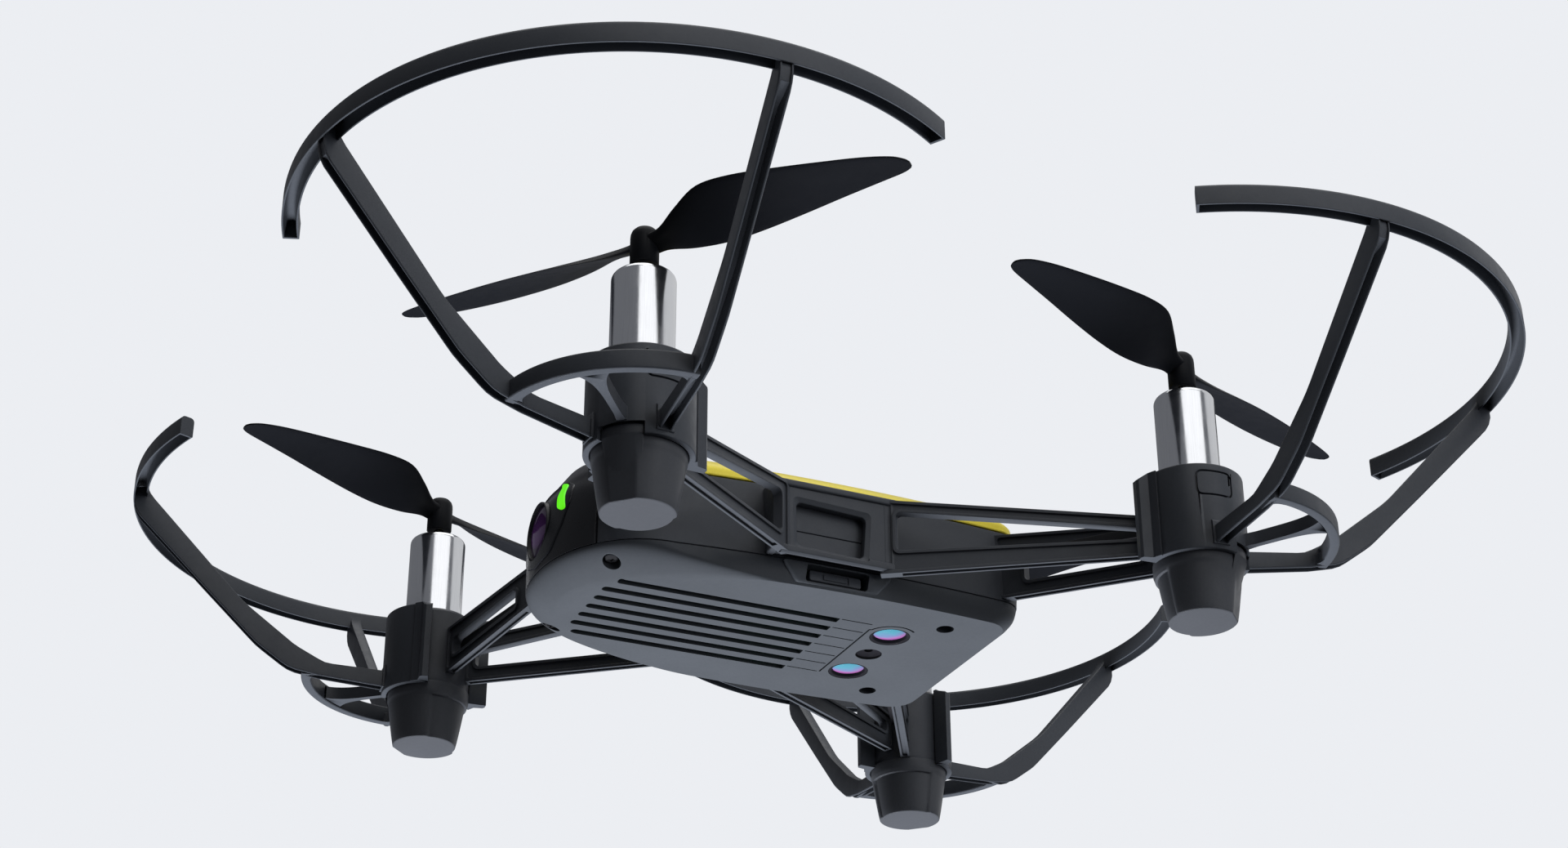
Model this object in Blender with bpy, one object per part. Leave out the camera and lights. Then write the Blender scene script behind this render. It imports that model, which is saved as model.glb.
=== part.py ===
"""Mini palm drone: a hull on four plate arms, four brushed motors, two-blade
propellers, clip-on propeller guards, and the camera, battery and boards inside.

Every size below is in millimetres; MM turns it into metres where a mesh is made.
+Z is up, the nose faces -Y, +X is the drone's left side, and z = 0 is the floor
under the four feet.  The origin is midway between the motor axes.
"""
import math

import bmesh
import bpy
from mathutils import Matrix, Vector

MM = 0.001
GAP = 0.3

# corner layout: one motor in each corner
MOTOR_X = 43.2
MOTOR_Y = 40.3
CORNERS = {
    "front_left": (1, -1),
    "rear_left": (1, 1),
    "front_right": (-1, -1),
    "rear_right": (-1, 1),
}
BLADE_REST_DEG = {"front_left": 34.5, "rear_left": 116.0, "front_right": 117.0, "rear_right": 34.5}

# hull
HALF_WIDTH = 19.2
WIDEST_Y = 3.0
TAPER_DROP = 2.8
TAPER_LENGTH = 35.5
NOSE_ROUND_LENGTH = 14.0
NOSE_EXPONENT = 2.1
REAR_CORNER_R = 4.0
SKIN = 1.2
SKIN_CROWN_SHARE = 0.9
OVERCUT = 2.0
REACH = 60.0
BELLY_Z = 7.26
SEAM_Z = 10.5
COVER_Z = 21.8
CROWN_Z = 28.4
# levels: height, nose y, tail y, width factor
SHELL_LEVELS = [
    (BELLY_Z, -35.2, 24.0, 0.64),
    (7.9, -37.6, 24.9, 0.75),
    (9.1, -39.3, 25.8, 0.90),
    (SEAM_Z, -40.0, 26.4, 0.985),
]
HULL_LEVELS = [
    (SEAM_Z + GAP, -40.1, 26.5, 0.99),
    (15.5, -40.1, 26.9, 0.98),
    (19.4, -39.7, 26.9, 0.96),
    (COVER_Z, -38.1, 26.7, 0.945),
    (22.9, -37.1, 26.3, 0.93),
    (24.9, -35.4, 23.0, 0.74),
    (26.6, -34.2, 18.0, 0.52),
    (27.8, -32.8, 10.0, 0.31),
    (CROWN_Z, -30.6, 2.0, 0.12),
]
FASCIA_HALF_WIDTH = 12.5
FASCIA_REAR_Y = -31.8

# nose
CAMERA_R = 4.4
CAMERA_Y = -39.0
CAMERA_Z = 17.0
CAMERA_HOLE_REACH = 8.0
LED_X = 8.0
LED_Z = 19.0
LED_HALF_WIDTH = 0.7
LED_HALF_HEIGHT = 1.6

# belly details
VENT_PITCH = 3.08
VENT_COUNT = 7
VENT_WIDTH = 1.4
VENT_FRONT_Y = -31.1
VENT_OUTER_FRONT_Y = -30.0
VENT_REAR_Y = 2.9
LENS_X = 6.84
LENS_Y = 12.1
LENS_HOLE_R = 2.9
RANGE_HOLE_R = 1.9
SCREW_PLACES = {
    "front_left": (12.0, -32.0),
    "rear_left": (12.5, 18.0),
    "front_right": (-12.0, -32.0),
    "rear_right": (-12.5, 18.0),
}
SCREW_HEAD_R = 1.0
SCREW_SHANK_R = 0.55
SCREW_POST_HALF = 1.7
SCREW_POST_TOP_Z = 11.8
WELL_LOW_Z = 5.0
WELL_HIGH_Z = 12.0

# side block that carries the button on the left and the charging port on the right
BLOCK_X = 18.4
BLOCK_INNER_X = 10.0
# outline of the block, (y, z), narrower at the bottom
BLOCK_OUTLINE = [(-8.1, 7.55), (4.5, 7.55), (6.1, SEAM_Z), (-9.0, SEAM_Z)]
POCKET_INNER_X = 11.0
POCKET_FRONT_Y = -6.1
POCKET_REAR_Y = 2.7
POCKET_BASE_Z = 7.95
POCKET_TOP_Z = 10.05
BUTTON_TRAVEL = 0.4

# side panel that joins the two long arms of one side
PANEL_X = 22.0
PANEL_FACE_X = 21.6
PANEL_INNER_X = 17.9
PANEL_LIP = 1.0
PANEL_FRONT_Y = -11.0
PANEL_REAR_Y = 5.7
PANEL_BASE_Z = 10.8
PANEL_TOP_Z = 20.4
WINDOW_FRONT_Y = -8.8
WINDOW_REAR_Y = 1.5
WINDOW_BASE_Z = 11.4
WINDOW_TOP_Z = 17.8
WINDOW_DEPTH = 2.6

# motor, socket and foot, about one motor axis
CAN_R = 4.2
CAN_BASE_Z = 13.8
CAN_TOP_Z = 33.8
SOCKET_INNER_R = 4.5
SOCKET_OUTER_R = 5.9
SOCKET_BASE_Z = 8.2
SOCKET_TOP_Z = 20.3
SHAFT_R = 0.5
HUB_R = 1.9
HUB_BASE_Z = 35.3
HUB_TOP_Z = 40.8
BLADE_Z = 38.2
BLADE_TIP_R = 38.0
SOCKET_CHAMFER = 0.6
ARM_THICKNESS = 1.8
# arms of the left side: root point (x, y), corner, slot margins at root and socket, then
# (low, high) heights of the plate at the root and at the socket, and the same for its slot
ARMS = {
    "long_front": (
        (20.6, -9.4), "front_left", (1.6, 2.4), (10.9, 19.6), (9.9, 16.8), (13.1, 18.0), (12.2, 14.2),
    ),
    "short_front": (
        (14.6, -33.2), "front_left", (4.2, 2.4), (11.4, 19.0), (9.5, 17.0), (13.4, 16.8), (11.8, 14.6),
    ),
    "long_rear": (
        (20.6, 4.0), "rear_left", (1.6, 2.4), (10.9, 19.6), (9.9, 16.8), (13.1, 18.0), (12.2, 14.2),
    ),
    "short_rear": (
        (16.4, 23.4), "rear_left", (4.2, 2.4), (11.0, 21.0), (8.4, 15.8), (13.2, 18.4), (10.6, 13.4),
    ),
}

# motor lead, a flat strip beside the short arm
LEAD_THICKNESS = 0.7
LEAD_HEIGHT = 1.4
LEAD_ROOT_Z = 15.2
LEAD_SOCKET_Z = 13.9
LEAD_ROOT_MARGIN = 4.0
LEAD_SOCKET_MARGIN = 0.6

# (r, z) sections about one motor axis
CAN_PROFILE = [
    (CAN_R, CAN_BASE_Z), (CAN_R, CAN_TOP_Z - 0.8), (CAN_R - 0.25, CAN_TOP_Z - 0.25), (CAN_R - 0.8, CAN_TOP_Z),
    (1.5, CAN_TOP_Z), (1.5, CAN_TOP_Z + 0.5), (0.85, CAN_TOP_Z + 0.5),
    (0.85, CAN_TOP_Z - 0.6), (CAN_R - 0.4, CAN_TOP_Z - 0.9), (CAN_R - 0.4, CAN_BASE_Z),
]
END_CAP_PROFILE = [
    (0, CAN_BASE_Z - 1.2), (CAN_R, CAN_BASE_Z - 1.2), (CAN_R, CAN_BASE_Z - GAP),
    (3.4, CAN_BASE_Z - GAP), (3.4, CAN_BASE_Z + 1.0), (0, CAN_BASE_Z + 1.0),
]
ROTOR_PROFILE = [
    (0, CAN_BASE_Z + 1.4), (SHAFT_R, CAN_BASE_Z + 1.4), (SHAFT_R, CAN_BASE_Z + 2.2),
    (3.2, CAN_BASE_Z + 2.2), (3.2, CAN_TOP_Z - 2.6), (SHAFT_R, CAN_TOP_Z - 2.6),
    (SHAFT_R, HUB_TOP_Z - 1.4), (0, HUB_TOP_Z - 1.4),
]
# name, section, segments, finish
MOTOR_PIECES = [
    ("motor_can_", CAN_PROFILE, 20, "motor_steel"),
    ("motor_end_cap_", END_CAP_PROFILE, 16, "fascia_plastic"),
    ("motor_rotor_", ROTOR_PROFILE, 12, "shaft_steel"),
]
HUB_PROFILE = [
    (0, HUB_BASE_Z + 4.4), (SHAFT_R + GAP, HUB_BASE_Z + 4.4), (SHAFT_R + GAP, HUB_BASE_Z),
    (HUB_R, HUB_BASE_Z), (HUB_R, HUB_TOP_Z - 1.3), (HUB_R * 0.8, HUB_TOP_Z - 0.5), (0, HUB_TOP_Z),
]
FOOT_PROFILE = [
    (0, 0), (4.7, 0), (5.7, 6.0), (5.75, 6.5), (6.0, 6.6), (6.0, 7.3), (5.6, SOCKET_BASE_Z - GAP),
    (SOCKET_INNER_R - GAP, SOCKET_BASE_Z - GAP), (SOCKET_INNER_R - GAP, 11.6), (0, 11.6),
]

# propeller blade stations: radius, chord, pitch in degrees, sweep, lift, thickness
BLADE_STATIONS = [
    (1.1, 3.0, 34, 0.0, 0.0, 1.6),
    (3.5, 3.6, 34, 0.2, 0.0, 1.3),
    (7.0, 6.6, 31, 0.7, 0.1, 1.1),
    (12.0, 9.4, 25, 1.1, 0.3, 1.0),
    (18.0, 9.2, 19, 0.9, 0.5, 0.9),
    (25.0, 7.4, 14, 0.3, 0.7, 0.8),
    (32.0, 5.4, 11, -0.5, 0.8, 0.7),
    (36.5, 3.4, 9, -1.2, 0.8, 0.6),
    (BLADE_TIP_R, 1.2, 9, -1.7, 0.8, 0.5),
]
BLADE_SECTION_POINTS = 8
BLADE_NOSE_FULLNESS = 0.35

# guard, about one motor axis; its own axis points away from the hull
GUARD_AXIS_DEG = 39.5
RING_SHIFT = 1.2
RING_INNER_R = 43.3
RING_OUTER_R = 45.4
RING_BASE_Z = 36.6
RING_TOP_Z = 39.6
RING_WALL = 0.5
RING_ROOF = 1.0
RING_HALF_SPAN = 71.0
# each strut runs straight in plan, STRUT_OFFSET beside the motor axis; outlines are (distance, z)
STRUT_DEG = 37.4
STRUT_OFFSET = 0.9
STRUT_WIDTH = 1.8
STRUT_OUTLINE = [
    (6.6, 8.5), (16.4, 9.6), (20.9, 10.5), (26.0, 14.2), (34.5, 22.7), (45.6, 34.0), (46.2, 36.0),
    (45.6, 38.0), (44.2, 37.7), (28.4, 20.6), (20.2, 14.2), (15.6, 11.7), (6.6, 11.1),
]
RIB_HALF_WIDTH = 0.8
RIB_FLARE_HALF_WIDTH = 3.2
RIB_FLARE_R = 14.8
RIB_INNER_R = 6.6
RIB_Z = (9.6, 11.8)
BRACE_INNER_R = 17.6
BRACE_OUTER_R = 19.0
BRACE_BASE_Z = 10.0
BRACE_TOP_Z = 12.6
COLLAR_INNER_R = 6.2
COLLAR_OUTER_R = 7.0
COLLAR_BASE_Z = 7.8
COLLAR_TOP_Z = 20.4
COLLAR_START_DEG = -134.0
COLLAR_END_DEG = 123.0
LIP_R = 9.3
LIP_CHAMFER = 1.6
LIP_WIDTH = 1.6
LIP_SETBACK_DEG = 4.0

# battery, which slides in from the rear
BATTERY_HALF_WIDTH = 12.8
BATTERY_FRONT_Y = -16.0
BATTERY_REAR_Y = 27.2
BATTERY_DOOR_Y = 20.0
BATTERY_BASE_Z = 12.0
BATTERY_TOP_Z = 19.8

# (r, depth) sections about the camera's axis, depth counted from CAMERA_FRONT_Y
CAMERA_FRONT_Y = CAMERA_Y - 1.4
BARREL_PROFILE = [(CAMERA_R, 0.4), (CAMERA_R, 5.0), (3.3, 5.0), (3.3, 1.4), (3.9, 0.4)]
LENS_PROFILE = [(0, 0.9), (1.6, 1.05), (2.9, 1.75), (2.9, 2.6), (0, 2.6)]

# (r, z) sections of the belly lenses, the rangefinder window and a screw
BELLY_LENS_PROFILE = [(0, 7.45), (1.3, 7.55), (2.3, 7.9), (2.6, 8.0), (2.6, 9.6), (0, 9.6)]
RANGE_WINDOW_PROFILE = [(0, 7.8), (1.6, 7.8), (1.6, 9.6), (0, 9.6)]
SCREW_PROFILE = [
    (0, 8.6), (0.45, 8.3), (0.8, 8.3), (SCREW_HEAD_R, 8.5), (SCREW_HEAD_R, 9.1),
    (SCREW_SHANK_R, 9.1), (SCREW_SHANK_R, 11.2), (0, 11.5),
]

# rectangular pieces: lowest corner, highest corner, finish
BUTTON_FACE_X = BLOCK_X - GAP
BUTTON_DEPTH = 1.6
SWITCH_FACE_X = BUTTON_FACE_X - BUTTON_DEPTH - BUTTON_TRAVEL - 0.1
BOX_PIECES = {
    "camera_module": (
        (-4.2, CAMERA_Y + 4.0, CAMERA_Z - 4.2),
        (4.2, CAMERA_Y + 9.4, CAMERA_Z + 4.0), "fascia_plastic",
    ),
    "status_light": (
        (LED_X - LED_HALF_WIDTH, -38.7, LED_Z - LED_HALF_HEIGHT),
        (LED_X + LED_HALF_WIDTH, -35.4, LED_Z + LED_HALF_HEIGHT), "led_green",
    ),
    "sensor_board": ((-10.4, LENS_Y - 4.6, 9.9), (10.4, LENS_Y + 4.6, 10.7), "circuit_board"),
    "power_button": (
        (BUTTON_FACE_X - BUTTON_DEPTH, POCKET_FRONT_Y + 0.5, POCKET_BASE_Z + GAP),
        (BUTTON_FACE_X, POCKET_REAR_Y - 0.5, POCKET_TOP_Z - GAP), "charcoal_plastic",
    ),
    "power_switch": ((12.6, -3.6, 8.6), (SWITCH_FACE_X, 0.2, 9.9), "shield_metal"),
    "charging_port": ((-BUTTON_FACE_X, -5.4, 8.3), (-12.2, 2.0, 9.8), "shield_metal"),
    "power_board": ((-15.0, -8.0, 10.3), (15.0, 5.0, 11.1), "circuit_board"),
    "battery": (
        (-BATTERY_HALF_WIDTH, BATTERY_FRONT_Y, BATTERY_BASE_Z),
        (BATTERY_HALF_WIDTH, BATTERY_REAR_Y, BATTERY_TOP_Z), "battery_wrap",
    ),
    "battery_contacts": ((-6, BATTERY_FRONT_Y - 2.4, 13.5), (6, BATTERY_FRONT_Y - GAP, 18.5), "copper"),
    "main_board": ((-13.5, -29.0, 20.6), (13.5, 18.0, 21.4), "circuit_board"),
    "shield_can": ((-10.0, -20.0, 21.7), (10.0, 2.0, 23.6), "shield_metal"),
    "aerial_left": ((15.0, -14.0, 12.5), (15.5, 16.0, 18.5), "copper"),
    "aerial_right": ((-15.5, -14.0, 12.5), (-15.0, 16.0, 18.5), "copper"),
}

MATERIALS = {
    "charcoal_plastic": ((0.045, 0.048, 0.055), 0.55, 0.0),
    "guard_plastic": ((0.035, 0.037, 0.042), 0.50, 0.0),
    "fascia_plastic": ((0.012, 0.012, 0.015), 0.30, 0.0),
    "yellow_plastic": ((0.72, 0.62, 0.09), 0.40, 0.0),
    "foot_rubber": ((0.10, 0.105, 0.115), 0.75, 0.0),
    "motor_steel": ((0.62, 0.63, 0.65), 0.22, 1.0),
    "shaft_steel": ((0.55, 0.55, 0.56), 0.25, 1.0),
    "propeller_plastic": ((0.018, 0.019, 0.022), 0.42, 0.0),
    "lens_glass": ((0.05, 0.015, 0.07), 0.05, 0.0),
    "coated_glass": ((0.15, 0.42, 0.62), 0.08, 0.0),
    "led_green": ((0.12, 0.82, 0.01), 0.35, 0.0),
    "battery_wrap": ((0.05, 0.05, 0.06), 0.50, 0.0),
    "circuit_board": ((0.01, 0.09, 0.04), 0.50, 0.0),
    "shield_metal": ((0.60, 0.60, 0.58), 0.35, 1.0),
    "lead_jacket": ((0.03, 0.03, 0.035), 0.55, 0.0),
    "copper": ((0.80, 0.40, 0.22), 0.35, 1.0),
}


# ---------------------------------------------------------------- mesh helpers

def material(slot):
    """The material of one finish, made the first time it is asked for."""
    found = bpy.data.materials.get(slot)
    if found:
        return found
    colour, roughness, metallic = MATERIALS[slot]
    made = bpy.data.materials.new(slot)
    made.use_nodes = True
    shader = made.node_tree.nodes["Principled BSDF"]
    shader.inputs["Base Color"].default_value = (*colour, 1.0)
    shader.inputs["Roughness"].default_value = roughness
    shader.inputs["Metallic"].default_value = metallic
    return made


def add_object(name, bm, slot):
    """Turn a bmesh measured in millimetres into a named object in metres."""
    bmesh.ops.scale(bm, vec=(MM, MM, MM), verts=bm.verts)
    bmesh.ops.recalc_face_normals(bm, faces=bm.faces)
    mesh = bpy.data.meshes.new(name)
    bm.to_mesh(mesh)
    bm.free()
    obj = bpy.data.objects.new(name, mesh)
    bpy.context.scene.collection.objects.link(obj)
    obj.data.materials.append(material(slot))
    return obj


def loft(loops):
    """A closed solid through loops of equal length, with flat ends."""
    bm = bmesh.new()
    rings = [[bm.verts.new(point) for point in loop] for loop in loops]
    count = len(rings[0])
    for low, high in zip(rings, rings[1:]):
        for i in range(count):
            j = (i + 1) % count
            bm.faces.new((low[i], low[j], high[j], high[i]))
    bm.faces.new(reversed(rings[0]))
    bm.faces.new(rings[-1])
    return bm


def box(low, high):
    """A plain block between two corners."""
    (x0, y0, z0), (x1, y1, z1) = low, high
    base = [(x0, y0, z0), (x1, y0, z0), (x1, y1, z0), (x0, y1, z0)]
    top = [(x, y, z1) for x, y, _ in base]
    return loft([base, top])


def revolve(profile, segments=24, centre=(0.0, 0.0)):
    """Turn an (r, z) profile about a vertical axis.

    A profile whose ends lie on the axis gives a solid; any other profile is
    taken as a closed loop and gives a ring.
    """
    bm = bmesh.new()
    on_axis = profile[0][0] == 0 and profile[-1][0] == 0
    rings = []
    for r, z in profile:
        if r == 0:
            rings.append([bm.verts.new((centre[0], centre[1], z))])
            continue
        ring = []
        for k in range(segments):
            turn = 2 * math.pi * k / segments
            ring.append(bm.verts.new((centre[0] + r * math.cos(turn), centre[1] + r * math.sin(turn), z)))
        rings.append(ring)
    pairs = list(zip(rings, rings[1:]))
    if not on_axis:
        pairs.append((rings[-1], rings[0]))
    for low, high in pairs:
        for k in range(segments):
            n = (k + 1) % segments
            corners = [low[k % len(low)], low[n % len(low)], high[n % len(high)], high[k % len(high)]]
            bm.faces.new(list(dict.fromkeys(corners)))
    return bm


def sweep_arc(section, start_deg, end_deg, steps, shift=0.0):
    """Sweep an (r, z) section about the Z axis from one angle to another."""
    loops = []
    for k in range(steps + 1):
        turn = math.radians(start_deg + (end_deg - start_deg) * k / steps)
        loops.append([(shift + r * math.cos(turn), r * math.sin(turn), z) for r, z in section])
    return loft(loops)


def prism(outline, low_z, high_z):
    """An upright solid over an (x, y) outline."""
    return loft([[(x, y, low_z) for x, y in outline], [(x, y, high_z) for x, y in outline]])


def sideways_prism(outline, x0, x1):
    """A solid between two x positions over a (y, z) outline."""
    return loft([[(x0, y, z) for y, z in outline], [(x1, y, z) for y, z in outline]])


def upright_plate(outline, direction_deg, thickness, start=(0.0, 0.0)):
    """Extrude an (s, z) outline that stands in the vertical plane of a direction."""
    turn = math.radians(direction_deg)
    along = Vector((math.cos(turn), math.sin(turn), 0))
    side = Vector((-math.sin(turn), math.cos(turn), 0)) * thickness / 2
    origin = Vector((start[0], start[1], 0))
    near = [origin + along * s + Vector((0, 0, z)) - side for s, z in outline]
    far = [point + 2 * side for point in near]
    return loft([near, far])


def upright_frame(outer, inner, direction_deg, thickness, start):
    """Like upright_plate, with one opening whose outline has as many corners."""
    turn = math.radians(direction_deg)
    along = Vector((math.cos(turn), math.sin(turn), 0))
    side = Vector((-math.sin(turn), math.cos(turn), 0)) * thickness / 2
    origin = Vector((start[0], start[1], 0))
    bm = bmesh.new()
    loops = []
    for outline, sign in ((outer, -1), (inner, -1), (inner, 1), (outer, 1)):
        loops.append([bm.verts.new(origin + along * s + Vector((0, 0, z)) + side * sign) for s, z in outline])
    count = len(outer)
    for a, b in zip(loops, loops[1:] + loops[:1]):
        for i in range(count):
            j = (i + 1) % count
            bm.faces.new((a[i], a[j], b[j], b[i]))
    return bm


def combine(body, tools, operation):
    """Apply a Boolean of each tool to body, then drop the tools."""
    for tool in tools:
        step = body.modifiers.new("combine", "BOOLEAN")
        step.operation = operation
        step.solver = "EXACT"
        step.object = tool
        graph = bpy.context.evaluated_depsgraph_get()
        result = bpy.data.meshes.new_from_object(body.evaluated_get(graph))
        body.modifiers.clear()
        old = body.data
        body.data = result
        bpy.data.meshes.remove(old)
        bpy.data.objects.remove(tool)
    return body


def join(body, solids):
    """Union further bmesh solids, in millimetres, onto an object."""
    return combine(body, [add_object("tool", bm, "charcoal_plastic") for bm in solids], "UNION")


def cut(body, solids):
    """Cut bmesh solids, in millimetres, out of an object."""
    return combine(body, [add_object("tool", bm, "charcoal_plastic") for bm in solids], "DIFFERENCE")


def smooth(obj, angle_deg=35.0):
    """Shade round surfaces smooth and keep the real edges sharp."""
    obj.data.shade_smooth()
    obj.data.set_sharp_from_angle(angle=math.radians(angle_deg))
    return obj


def place(obj, corner, turn_deg=0.0):
    """Move a piece made about a motor axis to its corner."""
    sx, sy = CORNERS[corner]
    obj.location = (sx * MOTOR_X * MM, sy * MOTOR_Y * MM, 0)
    obj.rotation_euler = (0, 0, math.radians(turn_deg))
    return obj


def place_mirrored(obj, corner):
    """Mirror a piece made for the rear-left corner and move it to its own corner."""
    sx, sy = CORNERS[corner]
    obj.data.transform(Matrix.Diagonal((sx, sy, 1, 1)))
    if sx * sy < 0:
        obj.data.flip_normals()
    return place(obj, corner)


# ------------------------------------------------------------------ hull shape

def half_width(y):
    """Half the hull's full width at one station along its length."""
    return HALF_WIDTH - TAPER_DROP * ((y - WIDEST_Y) / TAPER_LENGTH) ** 2


def hull_loop(z, nose_y, tail_y, width_factor, inset=0.0):
    """Plan outline of the hull at height z, counter-clockwise from the nose."""
    nose_y += inset
    tail_y -= inset
    round_y = nose_y + NOSE_ROUND_LENGTH
    reach = half_width(round_y) * width_factor - inset
    side = [(0.0, nose_y)]
    for k in range(1, 8):
        t = math.radians(90 * k / 7)
        x = reach * math.sin(t) ** (2 / NOSE_EXPONENT)
        side.append((x, round_y - NOSE_ROUND_LENGTH * math.cos(t) ** (2 / NOSE_EXPONENT)))
    corner_r = REAR_CORNER_R * width_factor
    corner_y = tail_y - corner_r
    for k in range(1, 5):
        y = round_y + (corner_y - round_y) * k / 4
        side.append((half_width(y) * width_factor - inset, y))
    corner_x = side[-1][0] - corner_r
    for k in (1, 2, 3):
        t = math.radians(30 * k)
        side.append((corner_x + corner_r * math.cos(t), corner_y + corner_r * math.sin(t)))
    mirrored = [(-x, y) for x, y in reversed(side[1:])]
    return [(x, y, z) for x, y in side + mirrored]


def hull_skin(levels, inset=0.0):
    """Loft of the hull's outlines, optionally pulled in."""
    return loft([hull_loop(z, nose_y, tail_y, factor, inset) for z, nose_y, tail_y, factor in levels])


def upper_hull():
    """The whole upper skin as one hollow shell, open underneath."""
    skin = add_object("upper_hull", hull_skin(HULL_LEVELS), "charcoal_plastic")
    drop = SKIN * SKIN_CROWN_SHARE
    inner_levels = [(z - drop, nose, tail, factor) for z, nose, tail, factor in HULL_LEVELS[:-1]]
    inner_levels[0] = (HULL_LEVELS[0][0] - OVERCUT, *inner_levels[0][1:])
    return cut(skin, [hull_skin(inner_levels, inset=SKIN)])


# ------------------------------------------------------------------- airframe

def socket_profile():
    """(r, z) section of the tube that holds one motor."""
    return [
        (SOCKET_INNER_R, SOCKET_BASE_Z),
        (SOCKET_OUTER_R, SOCKET_BASE_Z),
        (SOCKET_OUTER_R, SOCKET_TOP_Z - SOCKET_CHAMFER),
        (SOCKET_OUTER_R - SOCKET_CHAMFER, SOCKET_TOP_Z),
        (SOCKET_INNER_R, SOCKET_TOP_Z),
    ]


def arm(name, side):
    """A slotted plate arm from a point on the hull into one socket's wall."""
    root, corner, margins, root_z, socket_z, slot_root_z, slot_socket_z = ARMS[name]
    sy = CORNERS[corner][1]
    centre = Vector((side * MOTOR_X, sy * MOTOR_Y))
    start = Vector((side * root[0], root[1]))
    run = centre - start
    length = run.length - (SOCKET_INNER_R + SOCKET_OUTER_R) / 2
    direction = math.degrees(math.atan2(run.y, run.x))
    s0 = margins[0]
    s1 = length - margins[1]
    outer = [(0, root_z[0]), (length, socket_z[0]), (length, socket_z[1]), (0, root_z[1])]
    inner = [(s0, slot_root_z[0]), (s1, slot_socket_z[0]), (s1, slot_socket_z[1]), (s0, slot_root_z[1])]
    return upright_frame(outer, inner, direction, ARM_THICKNESS, start)


def side_panel(side):
    """Bridge piece on one side of the hull, with a lip along its top and bottom."""
    def slab(outer_x, low_z, high_z):
        x0, x1 = sorted((side * PANEL_INNER_X, side * outer_x))
        return box((x0, PANEL_FRONT_Y, low_z), (x1, PANEL_REAR_Y, high_z))

    return [
        slab(PANEL_X, PANEL_BASE_Z, PANEL_BASE_Z + PANEL_LIP),
        slab(PANEL_FACE_X, PANEL_BASE_Z + PANEL_LIP / 2, PANEL_TOP_Z - PANEL_LIP / 2),
        slab(PANEL_X, PANEL_TOP_Z - PANEL_LIP, PANEL_TOP_Z),
    ]


def screw_post(x, y):
    """Ledge on the hull wall that a lower-shell screw goes into."""
    side = 1 if x > 0 else -1
    half = SCREW_POST_HALF
    x0, x1 = sorted((x - side * half, side * (half_width(y) - SKIN * SKIN_CROWN_SHARE)))
    return box((x0, y - half, HULL_LEVELS[0][0]), (x1, y + half, SCREW_POST_TOP_Z))


def well(x, y, r, segments=12, low_z=WELL_LOW_Z, high_z=WELL_HIGH_Z):
    """Upright cylinder that cuts a round hole."""
    return revolve([(0, low_z), (r, low_z), (r, high_z), (0, high_z)], segments, (x, y))


def make_airframe():
    """Hull walls, side panels, arms and motor sockets in one moulding."""
    frame = upper_hull()
    frame.name = "airframe"
    front = FASCIA_HALF_WIDTH + GAP
    top_z = CROWN_Z + OVERCUT
    cut(frame, [
        box((-front, -REACH, 0), (front, FASCIA_REAR_Y + GAP, top_z)),
        box((-REACH, -REACH, COVER_Z - GAP), (REACH, REACH, top_z)),
    ])
    solids = []
    for side in (1, -1):
        solids += side_panel(side)
        solids += [arm(name, side) for name in ARMS]
    for corner, (sx, sy) in CORNERS.items():
        solids.append(revolve(socket_profile(), 20, (sx * MOTOR_X, sy * MOTOR_Y)))
        solids.append(screw_post(*SCREW_PLACES[corner]))
    join(frame, solids)
    cutters = []
    for side in (1, -1):
        x0, x1 = sorted((side * (PANEL_X - WINDOW_DEPTH), side * (PANEL_X + OVERCUT)))
        cutters.append(box((x0, WINDOW_FRONT_Y, WINDOW_BASE_Z), (x1, WINDOW_REAR_Y, WINDOW_TOP_Z)))
    for x, y in SCREW_PLACES.values():
        cutters.append(well(x, y, SCREW_SHANK_R + GAP))
    half = BATTERY_HALF_WIDTH + GAP
    cutters.append(box((-half, BATTERY_DOOR_Y, BATTERY_BASE_Z - GAP), (half, REACH, BATTERY_TOP_Z + GAP)))
    return cut(frame, cutters)


def make_top_cover():
    """Coloured cover that clips over the hull."""
    cover = upper_hull()
    cover.name = "top_cover"
    cut(cover, [
        box((-REACH, -REACH, 0), (REACH, REACH, COVER_Z)),
        box((-REACH, -REACH, 0), (REACH, FASCIA_REAR_Y + 2 * GAP, CROWN_Z + OVERCUT)),
    ])
    cover.data.materials.clear()
    cover.data.materials.append(material("yellow_plastic"))
    return cover


def make_fascia():
    """Dark nose piece that holds the camera and the status light."""
    fascia = upper_hull()
    fascia.name = "front_fascia"
    hole_r = CAMERA_R + GAP
    reach = CAMERA_HOLE_REACH
    drill = [(0, -reach), (hole_r, -reach), (hole_r, reach), (0, reach)]
    camera_hole = turned_forward(drill, CAMERA_Y, CAMERA_Z)
    light_slot = box(
        (LED_X - LED_HALF_WIDTH - GAP, -REACH, LED_Z - LED_HALF_HEIGHT - GAP),
        (LED_X + LED_HALF_WIDTH + GAP, FASCIA_REAR_Y + OVERCUT, LED_Z + LED_HALF_HEIGHT + GAP),
    )
    front = box((-FASCIA_HALF_WIDTH, -REACH, 0), (FASCIA_HALF_WIDTH, FASCIA_REAR_Y, CROWN_Z + OVERCUT))
    combine(fascia, [add_object("tool", front, "fascia_plastic")], "INTERSECT")
    cut(fascia, [camera_hole, light_slot])
    fascia.data.materials.clear()
    fascia.data.materials.append(material("fascia_plastic"))
    return fascia


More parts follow.
